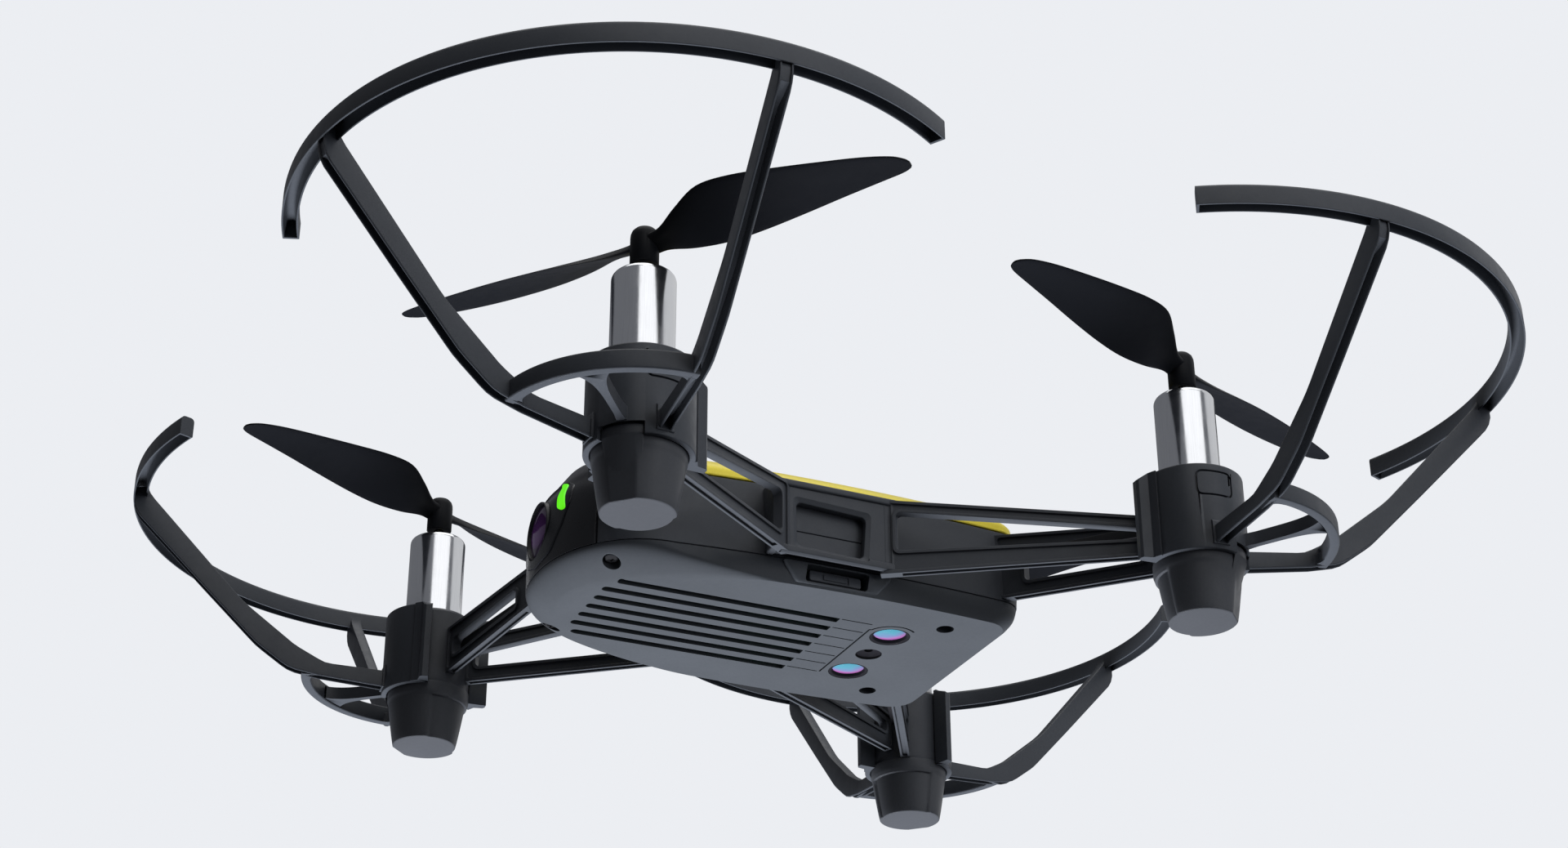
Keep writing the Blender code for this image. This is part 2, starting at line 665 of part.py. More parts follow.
def make_lower_shell():
    """Belly moulding with cooling slots, sensor holes and the side blocks."""
    shell = add_object("lower_shell", hull_skin(SHELL_LEVELS), "charcoal_plastic")
    join(shell, [sideways_prism(BLOCK_OUTLINE, side * BLOCK_INNER_X, side * BLOCK_X) for side in (1, -1)])
    inner = [(z + SKIN, nose, tail, factor) for z, nose, tail, factor in SHELL_LEVELS]
    cutters = [hull_skin(inner, inset=SKIN)]
    for side in (1, -1):
        x0, x1 = sorted((side * POCKET_INNER_X, side * (BLOCK_X + OVERCUT)))
        cutters.append(box((x0, POCKET_FRONT_Y, POCKET_BASE_Z), (x1, POCKET_REAR_Y, POCKET_TOP_Z)))
    for k in range(VENT_COUNT):
        x = (k - (VENT_COUNT - 1) / 2) * VENT_PITCH
        outermost = k in (0, VENT_COUNT - 1)
        front = VENT_OUTER_FRONT_Y if outermost else VENT_FRONT_Y
        half = VENT_WIDTH / 2
        cutters.append(box((x - half, front, WELL_LOW_Z), (x + half, VENT_REAR_Y, WELL_HIGH_Z)))
    cutters.append(well(-LENS_X, LENS_Y, LENS_HOLE_R, 20))
    cutters.append(well(LENS_X, LENS_Y, LENS_HOLE_R, 20))
    cutters.append(well(0.0, LENS_Y, RANGE_HOLE_R, 20))
    for x, y in SCREW_PLACES.values():
        cutters.append(well(x, y, SCREW_HEAD_R + GAP))
    return cut(shell, cutters)


# --------------------------------------------------------------- corner pieces

def strut(sign):
    """Strut from the collar to the ring, on one side of the guard's axis."""
    direction = sign * STRUT_DEG
    turn = math.radians(direction)
    start = (-math.sin(turn) * sign * STRUT_OFFSET, math.cos(turn) * sign * STRUT_OFFSET)
    return upright_plate(STRUT_OUTLINE, direction, STRUT_WIDTH, start)


def make_guard(corner):
    """Clip-on propeller guard: collar, two struts, brace, rib and ring."""
    collar = [
        (COLLAR_INNER_R, COLLAR_BASE_Z),
        (COLLAR_OUTER_R, COLLAR_BASE_Z),
        (COLLAR_OUTER_R, COLLAR_TOP_Z),
        (COLLAR_INNER_R, COLLAR_TOP_Z),
    ]
    clip = sweep_arc(collar, COLLAR_START_DEG, COLLAR_END_DEG, 16)
    guard = add_object("prop_guard_" + corner, clip, "guard_plastic")
    inner_wall_r = RING_INNER_R + RING_WALL
    outer_wall_r = RING_OUTER_R - RING_WALL
    roof_z = RING_TOP_Z - RING_ROOF
    ring = [
        (RING_INNER_R, RING_BASE_Z),
        (inner_wall_r, RING_BASE_Z),
        (inner_wall_r, roof_z),
        (outer_wall_r, roof_z),
        (outer_wall_r, RING_BASE_Z),
        (RING_OUTER_R, RING_BASE_Z),
        (RING_OUTER_R, RING_TOP_Z),
        (RING_INNER_R, RING_TOP_Z),
    ]
    brace = [
        (BRACE_INNER_R, BRACE_BASE_Z),
        (BRACE_OUTER_R, BRACE_BASE_Z),
        (BRACE_OUTER_R, BRACE_TOP_Z),
        (BRACE_INNER_R, BRACE_TOP_Z),
    ]
    brace_mid_r = (BRACE_INNER_R + BRACE_OUTER_R) / 2
    rib = [
        (RIB_INNER_R, -RIB_HALF_WIDTH), (RIB_FLARE_R, -RIB_HALF_WIDTH), (brace_mid_r, -RIB_FLARE_HALF_WIDTH),
        (brace_mid_r, RIB_FLARE_HALF_WIDTH), (RIB_FLARE_R, RIB_HALF_WIDTH), (RIB_INNER_R, RIB_HALF_WIDTH),
    ]
    root_r = COLLAR_INNER_R + GAP
    lip = [
        (root_r, COLLAR_BASE_Z),
        (LIP_R, COLLAR_BASE_Z),
        (LIP_R, COLLAR_TOP_Z - LIP_CHAMFER),
        (LIP_R - LIP_CHAMFER, COLLAR_TOP_Z),
        (root_r, COLLAR_TOP_Z),
    ]
    brace_deg = STRUT_DEG + math.degrees(STRUT_OFFSET / brace_mid_r)
    solids = [
        sweep_arc(brace, -brace_deg, brace_deg, 8),
        prism(rib, *RIB_Z),
        upright_plate(lip, COLLAR_END_DEG - LIP_SETBACK_DEG, LIP_WIDTH),
        upright_plate(lip, COLLAR_START_DEG + LIP_SETBACK_DEG, LIP_WIDTH),
        strut(1),
        strut(-1),
        sweep_arc(ring, -RING_HALF_SPAN, RING_HALF_SPAN, 24, RING_SHIFT),
    ]
    join(guard, solids)
    guard.data.transform(Matrix.Rotation(math.radians(GUARD_AXIS_DEG), 4, "Z"))
    return place_mirrored(guard, corner)


def make_motor(corner):
    """Motor can, its end cap with the brushes, and the rotor with its shaft."""
    for name, profile, segments, slot in MOTOR_PIECES:
        place(smooth(add_object(name + corner, revolve(profile, segments), slot)), corner)


def blade_loop(r, chord, pitch_deg, sweep, lift, thickness):
    """One aerofoil-like cross-section of a blade that points along +X."""
    loop = []
    tilt = math.radians(pitch_deg)
    for k in range(BLADE_SECTION_POINTS):
        t = 2 * math.pi * k / BLADE_SECTION_POINTS
        across = chord / 2 * math.cos(t) + sweep
        up = thickness / 2 * math.sin(t) * (1.0 + BLADE_NOSE_FULLNESS * math.cos(t))
        y = across * math.cos(tilt) - up * math.sin(tilt)
        z = across * math.sin(tilt) + up * math.cos(tilt)
        loop.append((r, y, BLADE_Z + lift + z))
    return loop


def make_propeller(corner):
    """Two-blade propeller, pushed onto the shaft; its pitch follows its spin."""
    sx, sy = CORNERS[corner]
    hand = sx * sy
    propeller = add_object("propeller_" + corner, revolve(HUB_PROFILE, 16), "propeller_plastic")
    blades = []
    for half_turn in (0, math.pi):
        turn = Matrix.Rotation(half_turn, 3, "Z")
        loops = []
        for r, chord, pitch, sweep, lift, thickness in BLADE_STATIONS:
            loop = blade_loop(r, chord, pitch * hand, sweep * hand, lift, thickness)
            loops.append([turn @ Vector(point) for point in loop])
        blades.append(loft(loops))
    join(propeller, blades)
    smooth(propeller)
    place(propeller, corner, BLADE_REST_DEG[corner])


def make_foot(corner):
    """Soft landing foot that plugs into the bottom of a motor socket."""
    place(smooth(add_object("landing_foot_" + corner, revolve(FOOT_PROFILE, 20), "foot_rubber")), corner)


def make_motor_lead(corner):
    """Flat two-core lead that runs beside the short arm into the hull."""
    sx, sy = CORNERS[corner]
    root = ARMS["short_front" if sy < 0 else "short_rear"][0]
    start = Vector((sx * root[0], root[1]))
    run = Vector((sx * MOTOR_X, sy * MOTOR_Y)) - start
    side = Vector((-run.y, run.x)).normalized()
    inward = side if side.y * sy < 0 else -side
    direction = math.degrees(math.atan2(run.y, run.x))
    length = run.length - SOCKET_OUTER_R - LEAD_ROOT_MARGIN - LEAD_SOCKET_MARGIN
    start += run.normalized() * LEAD_ROOT_MARGIN
    start += inward * (ARM_THICKNESS / 2 + GAP + LEAD_THICKNESS / 2)
    outline = [
        (0, LEAD_ROOT_Z),
        (length, LEAD_SOCKET_Z),
        (length, LEAD_SOCKET_Z + LEAD_HEIGHT),
        (0, LEAD_ROOT_Z + LEAD_HEIGHT),
    ]
    lead = upright_plate(outline, direction, LEAD_THICKNESS, start)
    add_object("motor_lead_" + corner, lead, "lead_jacket")


def make_screw(corner):
    """Pan-head screw that holds the lower shell to the airframe."""
    screw = revolve(SCREW_PROFILE, 12, SCREW_PLACES[corner])
    smooth(add_object("belly_screw_" + corner, screw, "shaft_steel"))


# --------------------------------------------------------------- hull contents

def turned_forward(profile, centre_y, centre_z, segments=24):
    """Revolve an (r, depth) profile about the camera's axis, facing -Y."""
    bm = revolve([(r, -depth) for r, depth in profile], segments)
    turn = Matrix.Rotation(math.radians(90), 4, "X")
    shift = Matrix.Translation((0, centre_y, centre_z))
    bmesh.ops.transform(bm, matrix=shift @ turn, verts=bm.verts)
    return bm


def make_camera():
    """Camera barrel in the fascia and the glass inside it."""
    barrel = turned_forward(BARREL_PROFILE, CAMERA_FRONT_Y, CAMERA_Z)
    smooth(add_object("camera_barrel", barrel, "fascia_plastic"))
    glass = turned_forward(LENS_PROFILE, CAMERA_FRONT_Y, CAMERA_Z)
    smooth(add_object("camera_lens", glass, "lens_glass"))


def make_belly_lenses():
    """Downward lenses at both sides and the rangefinder window between them."""
    for name, x in (("belly_lens_left", LENS_X), ("belly_lens_right", -LENS_X)):
        smooth(add_object(name, revolve(BELLY_LENS_PROFILE, 20, (x, LENS_Y)), "coated_glass"))
    smooth(add_object("range_sensor", revolve(RANGE_WINDOW_PROFILE, 16, (0.0, LENS_Y)), "lens_glass"))


def make_box_pieces():
    """Battery, boards, switch, port and the other rectangular pieces."""
    for name, (low, high, slot) in BOX_PIECES.items():
        add_object(name, box(low, high), slot)


def build():
    """Clear the scene and model the whole drone."""
    for obj in list(bpy.data.objects):
        bpy.data.objects.remove(obj, do_unlink=True)
    make_airframe()
    make_top_cover()
    make_fascia()
    make_lower_shell()
    make_camera()
    make_belly_lenses()
    make_box_pieces()
    for corner in CORNERS:
        make_guard(corner)
        make_motor(corner)
        make_propeller(corner)
        make_foot(corner)
        make_motor_lead(corner)
        make_screw(corner)


build()
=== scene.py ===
"""Looks for the mini palm drone: fine moulded surfaces, finishes, light and camera.

Lengths in this file are millimetres unless a name says otherwise; MM turns them
into metres where a mesh is made.  +Z is up, the nose faces -Y, +X is the drone's
left side.  Corner pieces are modelled once about a motor axis, for the rear-left
corner, and mirrored to the other three.
"""
import math

import bmesh
import bpy
from mathutils import Matrix, Vector


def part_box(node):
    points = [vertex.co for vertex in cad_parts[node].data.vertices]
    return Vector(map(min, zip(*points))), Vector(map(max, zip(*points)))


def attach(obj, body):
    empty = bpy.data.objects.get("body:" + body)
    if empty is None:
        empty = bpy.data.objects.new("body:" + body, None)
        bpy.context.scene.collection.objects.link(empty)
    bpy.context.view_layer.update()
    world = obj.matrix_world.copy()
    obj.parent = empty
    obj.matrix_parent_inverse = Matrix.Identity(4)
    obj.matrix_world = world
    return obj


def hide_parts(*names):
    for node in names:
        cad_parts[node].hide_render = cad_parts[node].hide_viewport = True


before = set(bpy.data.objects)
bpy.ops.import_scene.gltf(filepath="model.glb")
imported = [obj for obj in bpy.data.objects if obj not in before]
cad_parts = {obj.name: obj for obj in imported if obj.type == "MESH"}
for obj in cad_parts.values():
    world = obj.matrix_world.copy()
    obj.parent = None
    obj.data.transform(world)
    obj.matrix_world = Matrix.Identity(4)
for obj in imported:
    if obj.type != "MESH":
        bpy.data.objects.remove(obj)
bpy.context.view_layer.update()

MM = 0.001
AIRFRAME_BODY = "airframe_body"
CORNERS = {
    "front_left": (1, -1),
    "rear_left": (1, 1),
    "front_right": (-1, -1),
    "rear_right": (-1, 1),
}


def node_box(node):
    """Lowest and highest corner of a CAD node, in millimetres."""
    low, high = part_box(node)
    return low / MM, high / MM


def node_centre(node):
    low, high = node_box(node)
    return (low + high) / 2


# ---------------------------------------------------------------- places from the frame
MOTOR_AXIS = {corner: node_centre("motor_can_" + corner) for corner in CORNERS}
SHELL_LOW, SHELL_HIGH = node_box("lower_shell")
COVER_LOW, COVER_HIGH = node_box("top_cover")
FASCIA_LOW, FASCIA_HIGH = node_box("front_fascia")
FRAME_LOW, FRAME_HIGH = node_box("airframe")
CAMERA_CENTRE = node_centre("camera_lens")
LIGHT_CENTRE = node_centre("status_light")
LENS_CENTRES = {"left": node_centre("belly_lens_left"), "right": node_centre("belly_lens_right")}
RANGE_CENTRE = node_centre("range_sensor")
SCREW_CENTRES = {corner: node_centre("belly_screw_" + corner) for corner in CORNERS}
BUTTON_LOW, BUTTON_HIGH = node_box("power_button")
PORT_LOW, PORT_HIGH = node_box("charging_port")
CAN_LOW, CAN_HIGH = node_box("motor_can_rear_left")
PROP_LOW, PROP_HIGH = node_box("propeller_rear_left")

BELLY_Z = SHELL_LOW.z
SEAM_Z = SHELL_HIGH.z
COVER_Z = COVER_LOW.z
CROWN_Z = COVER_HIGH.z

# hull outline, as in the CAD source but sampled more finely
GAP = 0.3
HALF_WIDTH = 19.2
WIDEST_Y = 3.0
TAPER_DROP = 2.8
TAPER_LENGTH = 35.5
NOSE_ROUND_LENGTH = 14.0
NOSE_EXPONENT = 2.1
REAR_CORNER_R = 4.0
SKIN = 1.2
SEAM_GAP = 0.10
# levels: height, nose y, tail y, width factor
HULL_LEVELS = [
    (SEAM_Z + SEAM_GAP, -38.7, 28.2, 0.99),
    (15.5, -38.7, 28.6, 0.98),
    (19.4, -38.3, 28.6, 0.96),
    (COVER_Z, -37.2, 28.3, 0.95),
    (23.4, -36.4, 27.8, 0.93),
    (25.5, -35.0, 24.8, 0.77),
    (26.9, -33.9, 19.5, 0.55),
    (28.0, -32.5, 11.5, 0.34),
    (CROWN_Z + 0.1, -30.4, 3.5, 0.13),
]
# lower shell: outline of the flat belly and outline at the seam, as nose y, tail y,
# width factor, length of the nose rounding and exponent of the nose curve
BELLY_OUTLINE = (-34.8, 26.2, 0.940, 28.0, 1.85)
SEAM_OUTLINE = (-38.6, 28.1, 0.985, 14.0, 2.1)
SHELL_START_DEG = 70.0
FASCIA_HALF_WIDTH = FASCIA_HIGH.x
FASCIA_REAR_Y = FASCIA_HIGH.y

# belly
VENT_PITCH = 3.08
VENT_COUNT = 7
VENT_WIDTH = 1.4
VENT_FRONT_Y = -31.1
VENT_REAR_Y = 2.9
LENS_HOLE_R = 2.9
RANGE_HOLE_R = 1.9
SCREW_HOLE_R = 1.25

# side block and panel
BLOCK_X = 18.4
# side block: height, outer x, front y, rear y
BLOCK_SECTIONS = [
    (BELLY_Z + 0.35, 18.2, -7.7, 4.5),
    (BELLY_Z + 0.60, 18.5, -8.0, 4.8),
    (9.60, 19.2, -9.5, 6.2),
    (10.2, 19.3, -9.8, 6.5),
]
POCKET_FRONT_Y = -6.4
POCKET_REAR_Y = 2.9
POCKET_BASE_Z = 7.84
POCKET_TOP_Z = 10.05
PANEL_X = 22.0
PANEL_FRONT_Y = -11.9
PANEL_REAR_Y = 5.7
PANEL_BASE_Z = 10.0
PANEL_TOP_Z = 20.9
WINDOW_FRONT_Y = -8.8
WINDOW_REAR_Y = 1.5
WINDOW_BASE_Z = 11.3
WINDOW_TOP_Z = 17.9
WINDOW_DEPTH = 2.3

# socket, arm and foot, about one motor axis
SOCKET_INNER_R = 4.5
SOCKET_OUTER_R = 5.9
SOCKET_BASE_Z = 7.7
SOCKET_TOP_Z = 20.3
ARM_THICKNESS = 1.5
FOOT_SOLE_R = 4.8
FOOT_TOP_R = 5.80
FOOT_RING_R = 6.02
FOOT_RING_LOW_Z = 6.4
FOOT_RING_TOP_Z = 7.4
FOOT_TAB_DEG = 42.0
FOOT_TAB_HALF_DEG = 25.0
FOOT_TAB_TOP_Z = 9.25
FOOT_FACET_DEG = 45.0
FOOT_FACET_HALF_DEG = 21.5

# guard, about one motor axis
GUARD_AXIS_DEG = 39.5
RING_SHIFT = 1.2
RING_INNER_R = 43.3
RING_OUTER_R = 45.4
RING_BASE_Z = 36.6
RING_TOP_Z = 39.6
RING_WALL = 0.28
RING_FRONT_SPAN = 70.7
RING_REAR_SPAN = 70.0
STRUT_DEG = 37.4
STRUT_OFFSET = 0.9
STRUT_WIDTH = 1.8
STRUT_WALL = 0.32
BRACE_INNER_R = 17.6
BRACE_OUTER_R = 19.0
BRACE_BASE_Z = 10.0
BRACE_TOP_Z = 12.6
COLLAR_INNER_R = 6.2
COLLAR_OUTER_R = 7.0
COLLAR_BASE_Z = 7.8
COLLAR_TOP_Z = 20.4
COLLAR_START_DEG = -134.0
COLLAR_END_DEG = 123.0
LIP_R = 8.9
LATCH_DEG = -46.1
LATCH_HALF_DEG = 21.5
LATCH_BASE_Z = 15.7
LATCH_TOP_Z = 19.2


# ---------------------------------------------------------------- mesh tools

def rounded(outline, radius, steps=4, closed=True):
    """A 2-D outline with its corners rounded; radius is one number or one per corner."""
    count = len(outline)
    radii = list(radius) if hasattr(radius, "__len__") else [radius] * count
    result = []
    for i, corner in enumerate(outline):
        p = Vector(corner)
        at_end = not closed and i in (0, count - 1)
        if radii[i] <= 0 or at_end:
            result.append(tuple(p))
            continue
        u = Vector(outline[i - 1]) - p
        v = Vector(outline[(i + 1) % count]) - p
        reach = 0.48 * min(u.length, v.length)
        u.normalize()
        v.normalize()
        half = math.acos(max(-1.0, min(1.0, u.dot(v)))) / 2
        if half > math.radians(88.5) or half < math.radians(1):
            result.append(tuple(p))
            continue
        r = radii[i]
        run = r / math.tan(half)
        if run > reach:
            run = reach
            r = run * math.tan(half)
        centre = p + (u + v).normalized() * (r / math.sin(half))
        a = p + u * run - centre
        b = p + v * run - centre
        sweep = math.atan2(a.x * b.y - a.y * b.x, a.dot(b))
        for k in range(steps + 1):
            t = sweep * k / steps
            result.append((
                centre.x + a.x * math.cos(t) - a.y * math.sin(t),
                centre.y + a.x * math.sin(t) + a.y * math.cos(t),
            ))
    return result


def resample(path, count):
    """Points spaced evenly along an open 2-D path."""
    points = [Vector(p) for p in path]
    lengths = [0.0]
    for a, b in zip(points, points[1:]):
        lengths.append(lengths[-1] + (b - a).length)
    result = []
    i = 0
    for k in range(count):
        want = lengths[-1] * k / (count - 1)
        while i < len(points) - 2 and lengths[i + 1] < want:
            i += 1
        span = lengths[i + 1] - lengths[i]
        t = (want - lengths[i]) / span if span else 0.0
        result.append(points[i].lerp(points[i + 1], t))
    return result


def catmull(values, t):
    """Smooth interpolation through a list of tuples; t runs from 0 to len - 1."""
    i = min(int(t), len(values) - 2)
    f = t - i
    p1, p2 = values[i], values[i + 1]
    p0 = values[i - 1] if i > 0 else tuple(2 * a - b for a, b in zip(p1, p2))
    p3 = values[i + 2] if i + 2 < len(values) else tuple(2 * b - a for a, b in zip(p1, p2))
    result = []
    for a, b, c, d in zip(p0, p1, p2, p3):
        result.append(0.5 * (2 * b + (c - a) * f + (2 * a - 5 * b + 4 * c - d) * f * f + (3 * b - a - 3 * c + d) * f ** 3))
    return tuple(result)


def loft(loops, closed=False):
    """Skin loops of equal length; open lofts get flat ends, closed ones join up."""
    bm = bmesh.new()
    rings = [[bm.verts.new(point) for point in loop] for loop in loops]
    count = len(rings[0])
    pairs = list(zip(rings, rings[1:]))
    if closed:
        pairs.append((rings[-1], rings[0]))
    for low, high in pairs:
        for i in range(count):
            j = (i + 1) % count
            bm.faces.new((low[i], low[j], high[j], high[i]))
    if not closed:
        bm.faces.new(reversed(rings[0]))
        bm.faces.new(rings[-1])
    return bm


def prism(outline, z0, z1):
    """An upright solid over a plan outline; z0 and z1 may be functions of (x, y)."""
    low = z0 if callable(z0) else (lambda x, y: z0)
    high = z1 if callable(z1) else (lambda x, y: z1)
    return loft([[(x, y, low(x, y)) for x, y in outline], [(x, y, high(x, y)) for x, y in outline]])


def soft_prism(outline, z0, z1, edge):
    """An upright solid over a convex plan outline, with chamfered top and bottom edges."""
    centre = Vector((sum(x for x, _ in outline), sum(y for _, y in outline))) / len(outline)

    def pulled(amount):
        points = []
        for x, y in outline:
            out = Vector((x, y)) - centre
            points.append(centre + out * max(0.0, 1 - amount / max(out.length, 1e-6)))
        return points

    mid = pulled(edge * 0.3)
    far = pulled(edge)
    return loft([
        [(p.x, p.y, z0) for p in far], [(p.x, p.y, z0 + edge * 0.3) for p in mid],
        [(x, y, z0 + edge) for x, y in outline], [(x, y, z1 - edge) for x, y in outline],
        [(p.x, p.y, z1 - edge * 0.3) for p in mid], [(p.x, p.y, z1) for p in far],
    ])


def revolve(profile, segments=48, centre=(0.0, 0.0)):
    """Turn an (r, z) profile about a vertical axis; ends on the axis close it."""
    bm = bmesh.new()
    rings = []
    for r, z in profile:
        if r == 0:
            rings.append([bm.verts.new((centre[0], centre[1], z))])
            continue
        ring = []
        for k in range(segments):
            t = 2 * math.pi * k / segments
            ring.append(bm.verts.new((centre[0] + r * math.cos(t), centre[1] + r * math.sin(t), z)))
        rings.append(ring)
    pairs = list(zip(rings, rings[1:]))
    if not (profile[0][0] == 0 and profile[-1][0] == 0):
        pairs.append((rings[-1], rings[0]))
    for low, high in pairs:
        for k in range(segments):
            n = (k + 1) % segments
            corners = [low[k % len(low)], low[n % len(low)], high[n % len(high)], high[k % len(high)]]
            bm.faces.new(list(dict.fromkeys(corners)))
    return bm


def sweep_arc(section, start_deg, end_deg, steps, shift=0.0):
    """Sweep an (r, z) section about the Z axis between two angles."""
    loops = []
    for k in range(steps + 1):
        t = math.radians(start_deg + (end_deg - start_deg) * k / steps)
        loops.append([(shift + r * math.cos(t), r * math.sin(t), z) for r, z in section])
    return loft(loops)


def upright(outline, direction_deg, thickness, start=(0.0, 0.0), offset=0.0):
    """Extrude an (s, z) outline that stands in the vertical plane of a direction."""
    t = math.radians(direction_deg)
    along = Vector((math.cos(t), math.sin(t), 0))
    side = Vector((-math.sin(t), math.cos(t), 0))
    origin = Vector((start[0], start[1], 0)) + side * (offset - thickness / 2)
    near = [origin + along * s + Vector((0, 0, z)) for s, z in outline]
    far = [point + side * thickness for point in near]
    return loft([near, far])


def block(low, high, edge=0.0, steps=2):
    """A block between two corners, with its edges rounded when edge is given."""
    (x0, y0, z0), (x1, y1, z1) = low, high
    base = [(x0, y0, z0), (x1, y0, z0), (x1, y1, z0), (x0, y1, z0)]
    top = [(x, y, z1) for x, y, _ in base]
    bm = loft([base, top])
    return bevelled(bm, edge, steps)


def bevelled(bm, edge, steps=2, sharp_deg=30.0):
    """Round every sharp edge of a bmesh by edge millimetres."""
    if edge > 0:
        bmesh.ops.recalc_face_normals(bm, faces=bm.faces)
        chosen = [e for e in bm.edges if len(e.link_faces) == 2 and e.calc_face_angle(0) > math.radians(sharp_deg)]
        bmesh.ops.bevel(bm, geom=chosen, offset=edge, segments=steps, profile=0.5, affect="EDGES", clamp_overlap=True)
    return bm


def tube(points, half_width, half_height, up):
    """Closed ribbon of rectangular section along a closed 3-D path; up(point) is its height direction."""
    loops = []
    count = len(points)
    for i, p in enumerate(points):
        ahead = (points[(i + 1) % count] - points[i - 1]).normalized()
        rise = up(p)
        side = ahead.cross(rise).normalized()
        loops.append([
            p + side * half_width + rise * half_height, p - side * half_width + rise * half_height,
            p - side * half_width - rise * half_height, p + side * half_width - rise * half_height,
        ])
    return loft(loops, closed=True)


def groove(path, width, z0, z1):
    """Upright ribbon along an open plan path, used to cut a groove."""
    points = [Vector(p) for p in path]
    left, right = [], []
    for i, p in enumerate(points):
        a = points[max(i - 1, 0)]
        b = points[min(i + 1, len(points) - 1)]
        ahead = (b - a).normalized()
        side = Vector((-ahead.y, ahead.x)) * width / 2
        left.append(p + side)
        right.append(p - side)
    outline = [tuple(p) for p in right] + [tuple(p) for p in reversed(left)]
    return prism(outline, z0, z1)


def merged(parts):
    """One bmesh that holds several closed shapes."""
    bm = bmesh.new()
    for part in parts:
        bmesh.ops.recalc_face_normals(part, faces=part.faces)
        mesh = bpy.data.meshes.new("part")
        part.to_mesh(mesh)
        part.free()
        bm.from_mesh(mesh)
        bpy.data.meshes.remove(mesh)
    return bm


def temp_object(bm):
    """A throwaway object, still in millimetres."""
    bmesh.ops.recalc_face_normals(bm, faces=bm.faces)
    mesh = bpy.data.meshes.new("temp")
    bm.to_mesh(mesh)
    bm.free()
    obj = bpy.data.objects.new("temp", mesh)
    bpy.context.scene.collection.objects.link(obj)
    return obj


def boolean(bm, tools, operation):
    """Boolean of tools, all at once, with a bmesh; returns a new bmesh."""
    body = temp_object(bm)
    tool = temp_object(merged(tools))
    step = body.modifiers.new("boolean", "BOOLEAN")
    step.operation = operation
    step.solver = "EXACT"
    step.use_self = True
    step.object = tool
    graph = bpy.context.evaluated_depsgraph_get()
    mesh = bpy.data.meshes.new_from_object(body.evaluated_get(graph))
    result = bmesh.new()
    result.from_mesh(mesh)
    for obj in (body, tool):
        data = obj.data
        bpy.data.objects.remove(obj)
        bpy.data.meshes.remove(data)
    bpy.data.meshes.remove(mesh)
    return result


def cut(bm, *tools):
    return boolean(bm, tools, "DIFFERENCE")


def join(bm, *tools):
    return boolean(bm, tools, "UNION")


def to_corner(bm, corner):
    """Mirror a shape made for the rear-left corner to another corner."""
    sx, sy = CORNERS[corner]
    axis = MOTOR_AXIS[corner]
    place = Matrix.Translation((axis.x, axis.y, 0)) @ Matrix.Diagonal((sx, sy, 1, 1))
    moved = bm.copy()
    bmesh.ops.transform(moved, matrix=place, verts=moved.verts)
    return moved


def piece(name, bm, slot, body, nodes=(), sharp_deg=32.0):
    """Make a visible piece from a bmesh in millimetres and hang it on its body."""
    bmesh.ops.remove_doubles(bm, verts=bm.verts, dist=0.0005)
    bmesh.ops.scale(bm, vec=(MM, MM, MM), verts=bm.verts)
    bmesh.ops.recalc_face_normals(bm, faces=bm.faces)
    mesh = bpy.data.meshes.new(name)
    bm.to_mesh(mesh)
    bm.free()
    mesh.shade_smooth()
    mesh.set_sharp_from_angle(angle=math.radians(sharp_deg))
    obj = bpy.data.objects.new(name, mesh)
    bpy.context.scene.collection.objects.link(obj)
    obj.data.materials.append(finish(slot))
    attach(obj, body)
    if nodes:
        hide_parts(*nodes)
    return obj


# ---------------------------------------------------------------- finishes


